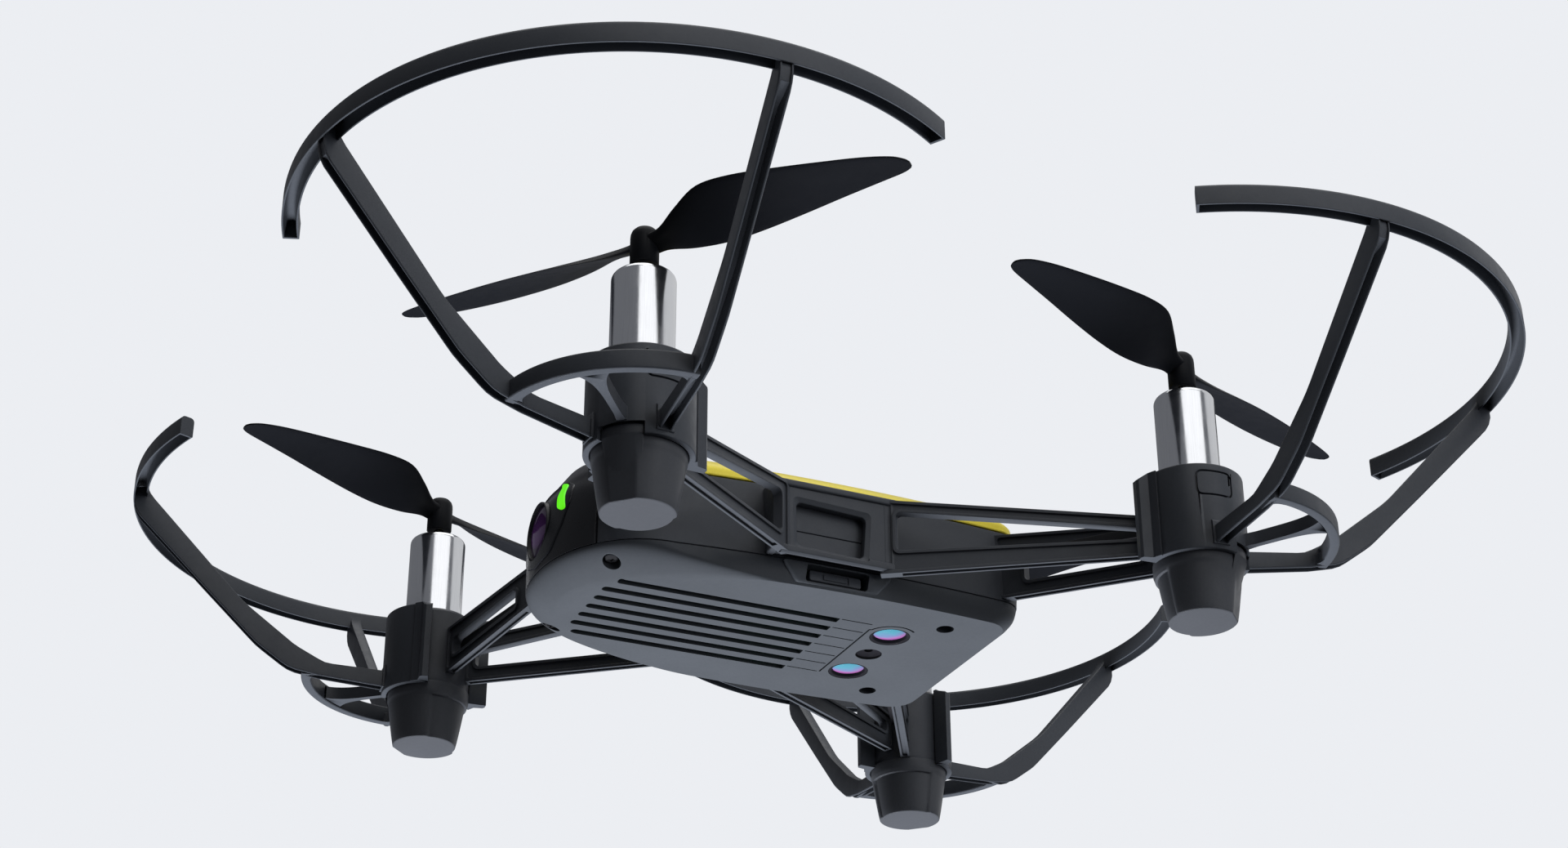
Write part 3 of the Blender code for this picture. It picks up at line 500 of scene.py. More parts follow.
class Nodes:
    """Small helper that builds one node material."""

    def __init__(self, name):
        self.material = bpy.data.materials.new(name + "_finish")
        self.material.use_nodes = True
        self.tree = self.material.node_tree
        self.shader = self.tree.nodes["Principled BSDF"]
        self.coords = self.add("ShaderNodeTexCoord").outputs["Object"]

    def add(self, kind, **settings):
        node = self.tree.nodes.new(kind)
        for key, value in settings.items():
            setattr(node, key, value)
        return node

    def link(self, source, target):
        self.tree.links.new(source, target)

    def noise(self, size_mm, detail=2.0, stretch=(1, 1, 1)):
        """Noise whose features are about size_mm across."""
        mapping = self.add("ShaderNodeMapping")
        mapping.inputs["Scale"].default_value = stretch
        self.link(self.coords, mapping.inputs["Vector"])
        node = self.add("ShaderNodeTexNoise")
        node.inputs["Scale"].default_value = 1 / (size_mm * MM)
        node.inputs["Detail"].default_value = detail
        self.link(mapping.outputs["Vector"], node.inputs["Vector"])
        return node.outputs["Fac"]

    def ramp(self, source, low, high, start=0.3, end=0.7):
        node = self.add("ShaderNodeMapRange")
        node.inputs["From Min"].default_value = start
        node.inputs["From Max"].default_value = end
        node.inputs["To Min"].default_value = low
        node.inputs["To Max"].default_value = high
        self.link(source, node.inputs["Value"])
        return node.outputs["Result"]

    def math(self, operation, a, b):
        node = self.add("ShaderNodeMath", operation=operation)
        for value, socket in ((a, node.inputs[0]), (b, node.inputs[1])):
            if isinstance(value, (int, float)):
                socket.default_value = value
            else:
                self.link(value, socket)
        return node.outputs[0]

    def tint(self, colour, factor):
        """A colour multiplied by a factor socket."""
        node = self.add("ShaderNodeVectorMath", operation="SCALE")
        node.inputs[0].default_value = colour
        self.link(factor, node.inputs["Scale"])
        return node.outputs["Vector"]

    def bump(self, height, depth_mm, edge_mm):
        """Rounded-edge normal plus a fine height texture."""
        edge = self.add("ShaderNodeBevel", samples=4)
        edge.inputs["Radius"].default_value = edge_mm * MM
        node = self.add("ShaderNodeBump")
        node.inputs["Distance"].default_value = depth_mm * MM
        node.inputs["Strength"].default_value = 1.0
        self.link(height, node.inputs["Height"])
        self.link(edge.outputs["Normal"], node.inputs["Normal"])
        self.link(node.outputs["Normal"], self.shader.inputs["Normal"])


# moulded finishes: colour, roughness, grain size, grain depth, edge radius
MOULDED = {
    "charcoal_plastic": ((0.036, 0.040, 0.048), 0.46, 0.36, 0.0022, 0.16),
    "belly_plastic": ((0.034, 0.038, 0.045), 0.50, 0.32, 0.0026, 0.16),
    "socket_plastic": ((0.030, 0.033, 0.040), 0.44, 0.36, 0.0022, 0.14),
    "guard_plastic": ((0.033, 0.037, 0.045), 0.42, 0.45, 0.0020, 0.12),
    "fascia_plastic": ((0.014, 0.015, 0.018), 0.30, 0.16, 0.002, 0.16),
    "bezel_plastic": ((0.010, 0.011, 0.014), 0.24, 0.16, 0.001, 0.12),
    "lens_ring": ((0.006, 0.006, 0.008), 0.42, 0.16, 0.001, 0.08),
    "yellow_plastic": ((0.72, 0.60, 0.055), 0.38, 0.30, 0.002, 0.20),
    "foot_rubber": ((0.036, 0.039, 0.046), 0.42, 0.36, 0.0022, 0.16),
    "propeller_plastic": ((0.0040, 0.0045, 0.0060), 0.46, 0.25, 0.002, 0.10),
    "battery_wrap": ((0.05, 0.05, 0.06), 0.50, 0.40, 0.010, 0.20),
    "circuit_board": ((0.010, 0.090, 0.040), 0.45, 0.60, 0.012, 0.08),
    "lead_jacket": ((0.012, 0.012, 0.014), 0.50, 0.20, 0.004, 0.10),
}
# metals: colour, roughness, brush line width, stretch of the lines
METALS = {
    "motor_steel": ((0.74, 0.75, 0.77), 0.17, 0.10, (1, 1, 0.02)),
    "shaft_steel": ((0.60, 0.60, 0.61), 0.25, 0.15, (1, 1, 0.05)),
    # screw steel is darkened: partly the screw's own dark metal, partly painted shade of its deep well
    "screw_steel": ((0.26, 0.26, 0.27), 0.30, 0.12, (1, 1, 1)),
    "shield_metal": ((0.60, 0.60, 0.58), 0.36, 0.20, (0.1, 1, 1)),
    "copper": ((0.80, 0.40, 0.22), 0.35, 0.20, (1, 0.1, 1)),
}


def moulded(slot):
    colour, roughness, grain, depth, edge = MOULDED[slot]
    n = Nodes(slot)
    cloud = n.ramp(n.noise(9.0), 0.96, 1.04)
    speck = n.ramp(n.noise(grain, 3.0), 0.96, 1.04)
    n.link(n.tint(colour, n.math("MULTIPLY", cloud, speck)), n.shader.inputs["Base Color"])
    n.link(n.ramp(n.noise(1.6, 3.0), roughness - 0.05, roughness + 0.05), n.shader.inputs["Roughness"])
    n.shader.inputs["Specular IOR Level"].default_value = 0.12 if slot == "propeller_plastic" else 0.3
    n.bump(n.noise(grain, 2.0), depth, edge)
    return n


def metal(slot):
    colour, roughness, line, stretch = METALS[slot]
    n = Nodes(slot)
    brush = n.noise(line, 3.0, stretch)
    n.link(n.tint(colour, n.ramp(brush, 0.95, 1.03)), n.shader.inputs["Base Color"])
    n.link(n.ramp(n.noise(2.5, 2.0), roughness - 0.03, roughness + 0.04), n.shader.inputs["Roughness"])
    n.shader.inputs["Metallic"].default_value = 1.0
    n.bump(brush, 0.0012, 0.10)
    return n


def glass(slot):
    """Coated glass that shifts colour with the viewing angle."""
    n = Nodes(slot)
    facing = n.add("ShaderNodeLayerWeight")
    facing.inputs["Blend"].default_value = 0.42
    ramp = n.add("ShaderNodeValToRGB")
    stops = GLASS_STOPS[slot]
    elements = ramp.color_ramp.elements
    while len(elements) < len(stops):
        elements.new(0.5)
    for element, (position, colour) in zip(elements, stops):
        element.position = position
        element.color = (*colour, 1.0)
    smear = n.ramp(n.noise(2.2, 2.0), -0.05, 0.05)
    n.link(n.math("ADD", facing.outputs["Facing"], smear), ramp.inputs["Fac"])
    n.link(ramp.outputs["Color"], n.shader.inputs["Base Color"])
    n.link(n.ramp(n.noise(1.0, 2.0), 0.05, 0.10), n.shader.inputs["Roughness"])
    n.shader.inputs["Specular IOR Level"].default_value = 0.35
    return n


GLASS_STOPS = {
    "coated_glass": [
        (0.0, (0.020, 0.15, 0.20)), (0.42, (0.040, 0.14, 0.19)), (0.55, (0.070, 0.10, 0.19)),
        (0.70, (0.18, 0.06, 0.18)), (1.0, (0.10, 0.03, 0.12)),
    ],
    "lens_glass": [(0.0, (0.020, 0.008, 0.034)), (0.45, (0.080, 0.022, 0.125)), (1.0, (0.120, 0.035, 0.190))],
}


def glowing(slot):
    n = Nodes(slot)
    level = n.ramp(n.noise(1.5, 2.0), 0.94, 1.05)
    n.link(n.tint((0.115, 0.80, 0.004), level), n.shader.inputs["Emission Color"])
    n.link(n.tint((0.02, 0.12, 0.0), level), n.shader.inputs["Base Color"])
    n.shader.inputs["Emission Strength"].default_value = 1.0
    n.shader.inputs["Roughness"].default_value = 0.35
    return n


def finish(slot):
    """The node material of one finish, made the first time it is asked for."""
    found = bpy.data.materials.get(slot + "_finish")
    if found:
        return found
    if slot in MOULDED:
        return moulded(slot).material
    if slot in METALS:
        return metal(slot).material
    if slot in GLASS_STOPS:
        return glass(slot).material
    return glowing(slot).material


# ---------------------------------------------------------------- hull

def half_width(y):
    return HALF_WIDTH - TAPER_DROP * ((y - WIDEST_Y) / TAPER_LENGTH) ** 2


def hull_loop(z, nose_y, tail_y, factor, nose_length=NOSE_ROUND_LENGTH, exponent=NOSE_EXPONENT, inset=0.0):
    """Plan outline of the hull at height z, counter-clockwise from the nose."""
    nose_steps, side_steps, corner_steps = 20, 10, 6
    nose_y += inset
    tail_y -= inset
    round_y = nose_y + nose_length
    reach = half_width(round_y) * factor - inset
    side = [(0.0, nose_y)]
    for k in range(1, nose_steps + 1):
        t = math.radians(90 * k / nose_steps)
        x = reach * math.sin(t) ** (2 / exponent)
        side.append((x, round_y - nose_length * max(0.0, math.cos(t)) ** (2 / exponent)))
    corner_r = REAR_CORNER_R * factor
    corner_y = tail_y - corner_r
    for k in range(1, side_steps + 1):
        y = round_y + (corner_y - round_y) * k / side_steps
        side.append((half_width(y) * factor - inset, y))
    corner_x = side[-1][0] - corner_r
    for k in range(1, corner_steps + 1):
        t = math.radians(90 * k / corner_steps)
        side.append((corner_x + corner_r * math.cos(t), corner_y + corner_r * math.sin(t)))
    mirrored_side = [(-x, y) for x, y in reversed(side[1:])]
    return [(x, y, z) for x, y in side + mirrored_side]


def fine_levels(levels, per_step, first=0.0, last=None):
    """Levels interpolated smoothly between the named ones."""
    last = len(levels) - 1 if last is None else last
    count = round((last - first) * per_step)
    return [catmull(levels, first + (last - first) * k / count) for k in range(count + 1)]


def hull_skin(levels, inset=0.0):
    return loft([hull_loop(*level, inset=inset) for level in levels])


def shell_levels(count=12, rise=0.0):
    """Lower shell from the flat belly round to the steep sides at the seam."""
    start = math.radians(SHELL_START_DEG)
    levels = []
    for k in range(count + 1):
        a = start + (math.pi / 2 - start) * k / count
        share = (math.sin(a) - math.sin(start)) / (1 - math.sin(start))
        z = BELLY_Z + (SEAM_Z - BELLY_Z) * (math.cos(start) - math.cos(a)) / math.cos(start)
        outline = [b + (s - b) * share for b, s in zip(BELLY_OUTLINE, SEAM_OUTLINE)]
        levels.append((z + rise, *outline))
    return levels


def nose_surface_y(x, z):
    """Where the nose of the upper hull lies in front of (x, z)."""
    low = 0.0
    high = 3.0
    for _ in range(30):
        mid = (low + high) / 2
        if catmull(HULL_LEVELS, mid)[0] < z:
            low = mid
        else:
            high = mid
    _, nose_y, _, factor = catmull(HULL_LEVELS, low)
    round_y = nose_y + NOSE_ROUND_LENGTH
    reach = half_width(round_y) * factor
    share = min(1.0, abs(x) / reach) ** NOSE_EXPONENT
    return round_y - NOSE_ROUND_LENGTH * (1 - share) ** (1 / NOSE_EXPONENT)


def hull_walls():
    """Upper hull from the seam up to the cover, hollow and open at both ends."""
    levels = fine_levels(HULL_LEVELS, 5, 0, 3)
    outer = hull_skin(levels)
    inner = [(z, nose, tail, factor) for z, nose, tail, factor in levels]
    inner[0] = (inner[0][0] - 2, *inner[0][1:])
    inner[-1] = (inner[-1][0] + 2, *inner[-1][1:])
    return cut(outer, hull_skin(inner, SKIN))


def top_cover():
    levels = fine_levels(HULL_LEVELS, 6, 3)
    # a slightly proud rim along the lower edge of the cover
    rim = [(COVER_Z, levels[0][1] + 0.15, levels[0][2] - 0.15, levels[0][3] - 0.006)]
    rim.append((COVER_Z + 0.15, levels[0][1], levels[0][2], levels[0][3]))
    outer = hull_skin(rim + levels[1:])
    inner = [(z - SKIN * 0.9, nose, tail, factor) for z, nose, tail, factor in levels[:-2]]
    inner[0] = (COVER_Z - 2, *inner[0][1:])
    return cut(outer, hull_skin(inner, SKIN))


def build_hull():
    reach = 60
    front = FASCIA_HALF_WIDTH + GAP
    split_y = FASCIA_REAR_Y + GAP

    walls = cut(
        hull_walls(),
        block((-front, -reach, 0), (front, split_y, reach)),
        block((-reach, -reach, COVER_Z - GAP), (reach, reach, reach)),
    )
    bay_low, bay_high = node_box("battery")
    walls = cut(walls, block((bay_low.x - GAP, bay_high.y - 6, bay_low.z - GAP), (bay_high.x + GAP, reach, bay_high.z + GAP)))
    piece("hull_walls", walls, "charcoal_plastic", AIRFRAME_BODY, ["airframe"])

    cover = cut(top_cover(), block((-reach, -reach, 0), (reach, split_y + GAP, reach)))
    piece("cover", cover, "yellow_plastic", AIRFRAME_BODY, ["top_cover"], 40)

    # nose piece: the whole front of the upper hull
    levels = fine_levels(HULL_LEVELS, 6)
    outer = hull_skin(levels)
    inner = [(z - SKIN * 0.9, nose, tail, factor) for z, nose, tail, factor in levels[:-2]]
    inner[0] = (SEAM_Z - 2, *inner[0][1:])
    shell = cut(outer, hull_skin(inner, SKIN))
    keep = block((-FASCIA_HALF_WIDTH, -reach, 0), (FASCIA_HALF_WIDTH, FASCIA_REAR_Y, reach))
    nose = boolean(shell, [keep], "INTERSECT")
    hole = forward([(0, -6), (CAMERA_R, -6), (CAMERA_R, 8), (0, 8)], 48)
    nose = cut(nose, hole, light_cutter(0.03))
    piece("nose_fascia", nose, "fascia_plastic", AIRFRAME_BODY, ["front_fascia"])


CAMERA_R = 4.2
# the status light is a capsule on the curved nose: its middle, and how far one unit
# across and one unit along it move in x and z
LIGHT_X = 6.24
LIGHT_Z = 19.83
LIGHT_ACROSS = (2.10, -0.70)
LIGHT_ALONG = (-0.43, 1.41)
LIGHT_HALF_WIDTH = 0.42
LIGHT_HALF_LENGTH = 1.70


def forward(profile, segments=48, centre_z=None):
    """Revolve an (r, y) profile about the camera's axis."""
    bm = revolve([(r, depth) for r, depth in profile], segments)
    turn = Matrix.Rotation(math.radians(-90), 4, "X")
    place = Matrix.Translation((0, CAMERA_CENTRE.y, CAMERA_CENTRE.z))
    bmesh.ops.transform(bm, matrix=place @ turn, verts=bm.verts)
    return bm


def light_outline(grow=0.0):
    """Outline of the status light on the nose, as (x, z) points."""
    w = LIGHT_HALF_WIDTH + grow
    h = LIGHT_HALF_LENGTH + grow
    capsule = []
    for k in range(24):
        t = 2 * math.pi * (k + 0.5) / 24
        capsule.append((w * math.cos(t), w * math.sin(t) + math.copysign(h - w, math.sin(t))))
    points = []
    for a, b in resample(capsule + capsule[:1], 61)[:-1]:
        points.append((
            LIGHT_X + a * LIGHT_ACROSS[0] + b * LIGHT_ALONG[0],
            LIGHT_Z + a * LIGHT_ACROSS[1] + b * LIGHT_ALONG[1],
        ))
    return points


def light_cutter(grow):
    points = light_outline(grow)
    return loft([[(x, -44, z) for x, z in points], [(x, -30, z) for x, z in points]])


def build_nose():
    """Camera ring, glass, bezel plate and status light."""
    # bezel: a thin plate that follows the nose around lens and light
    outline = rounded(
        [(-5.2, 13.2), (0.0, 11.2), (4.6, 11.9), (7.2, 15.2), (8.3, 18.5), (8.0, 20.9), (6.0, 22.3), (-1.5, 22.2), (-6.0, 19.5)],
        [3.0, 3.0, 3.0, 4.0, 2.0, 1.2, 1.5, 4.0, 3.0], 8)
    centre = Vector((0.6, CAMERA_CENTRE.z))
    spokes = resample(outline + outline[:1], 97)[:-1]
    lens = Vector((0.0, CAMERA_CENTRE.z))
    light = []
    rings = []
    steps = 10
    for k in range(steps + 1):
        share = k / steps
        ring = []
        for p in spokes:
            direction = (p - lens).normalized()
            a = lens + direction * (CAMERA_R + 0.02)
            q = a.lerp(p, share)
            ring.append(q)
        rings.append(ring)
    front = [[(q.x, nose_surface_y(q.x, q.y) - 0.20, q.y) for q in ring] for ring in rings]
    edge = [(q.x, nose_surface_y(q.x, q.y) - 0.06, q.y) for q in [(p - centre) * 1.012 + centre for p in rings[-1]]]
    back = [[(q.x, nose_surface_y(q.x, q.y) + 0.35, q.y) for q in ring] for ring in reversed(rings)]
    bezel = loft(front + [edge] + back, closed=True)
    bezel = cut(bezel, light_cutter(0.035))
    piece("nose_bezel", bezel, "bezel_plastic", AIRFRAME_BODY)

    front_y = nose_surface_y(0, CAMERA_CENTRE.z) - CAMERA_CENTRE.y
    ring_profile = rounded([
        (4.14, front_y - 0.16), (4.16, front_y + 1.2), (4.1, front_y + 4.6), (3.2, front_y + 4.6),
        (3.2, front_y + 1.6), (3.6, front_y + 1.5), (3.72, front_y + 0.5), (3.84, front_y + 0.0), (3.92, front_y - 0.16),
    ], 0.08, 2)
    piece("camera_ring", forward(ring_profile, 64), "lens_ring", AIRFRAME_BODY, ["camera_barrel"])
    dome = [(0, front_y - 0.14)]
    for k in range(1, 11):
        r = 3.7 * k / 10
        dome.append((r, front_y - 0.14 + 0.45 * (r / 3.7) ** 2.4))
    dome += [(3.6, front_y + 1.4), (0, front_y + 1.4)]
    piece("camera_glass", forward(dome, 48), "lens_glass", AIRFRAME_BODY, ["camera_lens"])

    loops = []
    for shrink, lift in ((0.10, 0.34), (0.03, 0.29), (0.0, 0.18), (0.0, -2.5)):
        loops.append([(x, nose_surface_y(x, z) - lift, z) for x, z in light_outline(-shrink)])
    piece("status_light_pipe", loft(loops), "led_green", AIRFRAME_BODY, ["status_light"])


def build_belly():
    """Lower shell with vents, grooves, lens wells, screw wells and side blocks."""
    shell = hull_skin(shell_levels())
    blocks = []
    for side in (1, -1):
        loops = []
        # the block widens upwards until it meets the lip of the side panel
        for z, x, front, rear in BLOCK_SECTIONS:
            outline = rounded([(10.0, front), (x, front), (x, rear), (10.0, rear)], [0, 0.5, 0.5, 0], 4)
            loops.append([(side * x, y, z) for x, y in outline])
        blocks.append(loft(loops))
    shell = join(shell, *blocks)
    shell = cut(shell, hull_skin(shell_levels(8, SKIN), SKIN))

    cutters = []
    for side in (1, -1):
        outline = rounded([
            (POCKET_FRONT_Y, POCKET_BASE_Z), (POCKET_REAR_Y, POCKET_BASE_Z),
            (POCKET_REAR_Y, POCKET_TOP_Z), (POCKET_FRONT_Y, POCKET_TOP_Z),
        ], 0.35, 3)
        x0, x1 = side * 11.0, side * (BLOCK_X + 2)
        cutters.append(loft([[(x0, y, z) for y, z in outline], [(x1, y, z) for y, z in outline]]))
    for k in range(VENT_COUNT):
        x = (k - (VENT_COUNT - 1) / 2) * VENT_PITCH
        front = VENT_FRONT_Y + (1.1 if k in (0, VENT_COUNT - 1) else 0.0)
        half = VENT_WIDTH / 2
        outline = rounded([(x - half, front), (x + half, front), (x + half, VENT_REAR_Y), (x - half, VENT_REAR_Y)], [0.6, 0.6, 0.15, 0.15], 4)
        cutters.append(prism(outline, BELLY_Z - 2, SEAM_Z + 1))
    for centre in LENS_CENTRES.values():
        cutters.append(revolve([(0, 5), (LENS_HOLE_R, 5), (LENS_HOLE_R, 12), (0, 12)], 48, (centre.x, centre.y)))
    cutters.append(revolve([(0, 5), (RANGE_HOLE_R, 5), (RANGE_HOLE_R, 12), (0, 12)], 40, (0.0, RANGE_CENTRE.y)))
    for centre in SCREW_CENTRES.values():
        cutters.append(revolve([(0, 5), (SCREW_HOLE_R, 5), (SCREW_HOLE_R, 12), (0, 12)], 28, (centre.x, centre.y)))
    shell = cut(shell, *cutters)

    lines = []
    depth = BELLY_Z + 0.28
    for k in range(VENT_COUNT):
        x = (k - (VENT_COUNT - 1) / 2) * VENT_PITCH
        side = VENT_WIDTH / 2 if k % 2 else -VENT_WIDTH / 2
        end = SENSOR_PANEL_Y - 0.4
        lines.append(groove([(x + VENT_WIDTH / 2 - 0.12, VENT_REAR_Y + 0.3), (x + VENT_WIDTH / 2 - 0.12, end)], 0.22, BELLY_Z - 1, depth))
    shell = cut(shell, *lines)
    path = [(-8.6, SENSOR_PANEL_Y), (8.2, SENSOR_PANEL_Y)]
    for k in range(0, 13):
        t = math.radians(-70 + 110 * k / 12)
        path.append((LENS_CENTRES["left"].x + 3.75 * math.cos(t), LENS_CENTRES["left"].y + 3.75 * math.sin(t)))
    path = rounded(path, 1.2, 4, closed=False)
    shell = cut(shell, groove(path, 0.26, BELLY_Z - 1, depth))
    piece("belly_shell", shell, "belly_plastic", AIRFRAME_BODY, ["lower_shell"])


SENSOR_PANEL_Y = 8.3


def build_sensors():
    for side, centre in LENS_CENTRES.items():
        ring = rounded([
            (2.86, BELLY_Z - 0.02), (2.86, BELLY_Z + 2.2), (2.2, BELLY_Z + 2.2), (2.2, BELLY_Z + 0.75), (2.45, BELLY_Z + 0.12),
        ], 0.06, 2)
        piece("sensor_ring_" + side, revolve(ring, 56, (centre.x, centre.y)), "lens_ring", AIRFRAME_BODY)
        dome = [(0, BELLY_Z + 0.12)]
        for k in range(1, 9):
            r = 2.32 * k / 8
            dome.append((r, BELLY_Z + 0.12 + 0.42 * (r / 2.32) ** 2))
        dome += [(2.30, BELLY_Z + 2.0), (0, BELLY_Z + 2.0)]
        piece("sensor_glass_" + side, revolve(dome, 48, (centre.x, centre.y)), "coated_glass", AIRFRAME_BODY, ["belly_lens_" + side])
    eye = [
        (0, BELLY_Z + 0.9), (0.55, BELLY_Z + 0.9), (0.62, BELLY_Z + 0.62), (1.45, BELLY_Z + 0.45),
        (1.80, BELLY_Z + 0.25), (1.84, BELLY_Z + 0.05), (1.88, BELLY_Z + 0.3), (1.88, BELLY_Z + 2.2), (0, BELLY_Z + 2.2),
    ]
    piece("range_eye", revolve(eye, 40, (0.0, RANGE_CENTRE.y)), "lens_ring", AIRFRAME_BODY, ["range_sensor"])
    for corner, centre in SCREW_CENTRES.items():
        base = BELLY_Z + 1.45
        head = [(0, base + 0.02), (0.5, base), (0.85, base + 0.10), (1.02, base + 0.32), (1.02, base + 0.8), (0.55, base + 0.85), (0.55, base + 2.4), (0, base + 2.6)]
        bm = revolve(head, 32, (centre.x, centre.y))
        cross = [
            block((centre.x - 0.55, centre.y - 0.14, base - 1), (centre.x + 0.55, centre.y + 0.14, base + 0.35)),
            block((centre.x - 0.14, centre.y - 0.55, base - 1), (centre.x + 0.14, centre.y + 0.55, base + 0.35)),
        ]
        piece("screw_" + corner, cut(bm, *cross), "screw_steel", AIRFRAME_BODY, ["belly_screw_" + corner])


def build_button():
    """Power button with its embossed mark."""
    outline = rounded([
        (BUTTON_LOW.y, BUTTON_LOW.z), (BUTTON_HIGH.y, BUTTON_LOW.z), (BUTTON_HIGH.y, BUTTON_HIGH.z), (BUTTON_LOW.y, BUTTON_HIGH.z),
    ], 0.25, 3)
    x0, x1 = BUTTON_LOW.x, BUTTON_HIGH.x
    mid_y = (BUTTON_LOW.y + BUTTON_HIGH.y) / 2
    mid_z = (BUTTON_LOW.z + BUTTON_HIGH.z) / 2
    loops = []
    for x, pull in ((x0, 0.0), (x1 - 0.15, 0.0), (x1 - 0.04, 0.05), (x1, 0.15)):
        loops.append([(x, y + (mid_y - y) * pull / 3.8, z + (mid_z - z) * pull / 0.8) for y, z in outline])
    button = loft(loops)
    mark = rounded([(-2.0, -0.55), (2.0, -0.55), (2.0, 0.55), (-2.0, 0.55)], 0.15, 2)
    inner = rounded([(-1.78, -0.36), (1.78, -0.36), (1.78, 0.36), (-1.78, 0.36)], 0.10, 2)
    outer_cut = loft([[(x1 - 0.12, mid_y + y, mid_z + z) for y, z in mark], [(x1 + 1, mid_y + y, mid_z + z) for y, z in mark]])
    plug = loft([[(x1 - 0.5, mid_y + y, mid_z + z) for y, z in inner], [(x1 + 2, mid_y + y, mid_z + z) for y, z in inner]])
    frame_cut = cut(outer_cut, plug)
    button = cut(button, frame_cut)
    piece("button_cap", button, "charcoal_plastic", "power_button_body", ["power_button"])


def build_panels():
    """Side panels with their windows, lips and end ridges."""
    for side, name in ((1, "left"), (-1, "right")):
        inner_x = 17.6
        plan_front, plan_rear = PANEL_FRONT_Y, PANEL_REAR_Y
        body_outline = rounded([
            (plan_front, PANEL_BASE_Z + 0.9), (plan_rear, PANEL_BASE_Z + 0.9), (plan_rear, PANEL_TOP_Z - 0.2), (plan_front, PANEL_TOP_Z - 0.2),
        ], 0.8, 4)
        mid_y, mid_z = (plan_front + plan_rear) / 2, (PANEL_BASE_Z + PANEL_TOP_Z) / 2
        loops = []
        for x, pull in ((inner_x, 0.0), (PANEL_X - 0.75, 0.0), (PANEL_X - 0.5, 0.06), (PANEL_X - 0.4, 0.25)):
            loops.append([(x, y + math.copysign(pull, mid_y - y), z + math.copysign(pull, mid_z - z)) for y, z in body_outline])
        panel = loft(loops)
        bars = []
        # lips along the top and the bottom, and ridges at both ends
        bars.append(block((inner_x, plan_front - 0.4, PANEL_TOP_Z - 1.0), (PANEL_X, plan_rear + 0.4, PANEL_TOP_Z), 0.28, 3))
        # the underside of the bottom lip rises towards the hull
        lip = [
            (inner_x, PANEL_BASE_Z + 0.85), (BLOCK_X + 1.2, PANEL_BASE_Z + 0.75), (PANEL_X - 0.5, PANEL_BASE_Z - 0.22),
            (PANEL_X, PANEL_BASE_Z + 0.1), (PANEL_X, PANEL_BASE_Z + 0.9), (PANEL_X - 0.3, PANEL_BASE_Z + 1.2), (inner_x, PANEL_BASE_Z + 1.5),
        ]
        lip = rounded(lip, [0, 0, 0.15, 0.15, 0.2, 0.2, 0], 3)
        bars.append(loft([[(x, y, z) for x, z in lip] for y in (plan_front + 0.4, plan_rear + 0.5)]))
        for y0, y1 in ((plan_front - 0.5, plan_front + 0.7), (plan_rear - 0.7, plan_rear + 0.5)):
            bars.append(block((inner_x, y0, PANEL_BASE_Z + 0.6), (PANEL_X - 0.05, y1, PANEL_TOP_Z - 0.4), 0.3, 3))
        panel = join(panel, *bars)
        # window with a bevelled frame
        window = [(WINDOW_FRONT_Y, WINDOW_BASE_Z + 0.3), (WINDOW_REAR_Y - 0.5, WINDOW_BASE_Z), (WINDOW_REAR_Y, WINDOW_TOP_Z - 0.5), (WINDOW_FRONT_Y - 0.1, WINDOW_TOP_Z)]
        steps = []
        for x, grow in ((PANEL_X - WINDOW_DEPTH, -0.25), (PANEL_X - 1.2, 0.0), (PANEL_X - 0.78, 0.1), (PANEL_X - 0.42, 0.7), (PANEL_X + 1.0, 0.9)):
            grown = [(y + math.copysign(grow, y - mid_y), z + math.copysign(grow, z - mid_z)) for y, z in window]
            steps.append([(x, y, z) for y, z in rounded(grown, 0.75, 5)])
        seam_z = WINDOW_BASE_Z + 2.95
        seam = block((PANEL_X - WINDOW_DEPTH - 0.25, WINDOW_FRONT_Y - 0.4, seam_z), (PANEL_X - WINDOW_DEPTH + 0.6, WINDOW_REAR_Y + 0.4, seam_z + 0.16))
        panel = cut(cut(panel, loft(steps)), seam)
        if side < 0:
            bmesh.ops.transform(panel, matrix=Matrix.Diagonal((-1, 1, 1, 1)), verts=panel.verts)
        piece("side_panel_" + name, panel, "charcoal_plastic", AIRFRAME_BODY)


# ---------------------------------------------------------------- arms and sockets
# each arm: root point on the hull (x, y) for the left side, then heights at the root and at the
# socket for the plate (low, high) and for its slot (low, high)
ARMS = {
    "long_front": ((20.9, -10.4), "front", (10.1, 20.6), (9.7, 16.5), (12.3, 18.9), (11.9, 14.1)),
    "short_front": ((14.6, -33.2), "front", (13.2, 19.4), (9.8, 17.0), (14.8, 17.6), (11.8, 14.6)),
    "long_rear": ((20.6, 4.0), "rear", (9.5, 20.8), (10.0, 15.7), (12.9, 19.1), (12.5, 13.9)),
    "short_rear": ((16.6, 24.2), "rear", (11.0, 21.0), (8.4, 15.8), (13.2, 18.4), (10.6, 13.4)),
}
RAIL_LIP = 0.45
RAIL_RECESS = 0.34


def lerp(a, b, t):
    return a + (b - a) * t


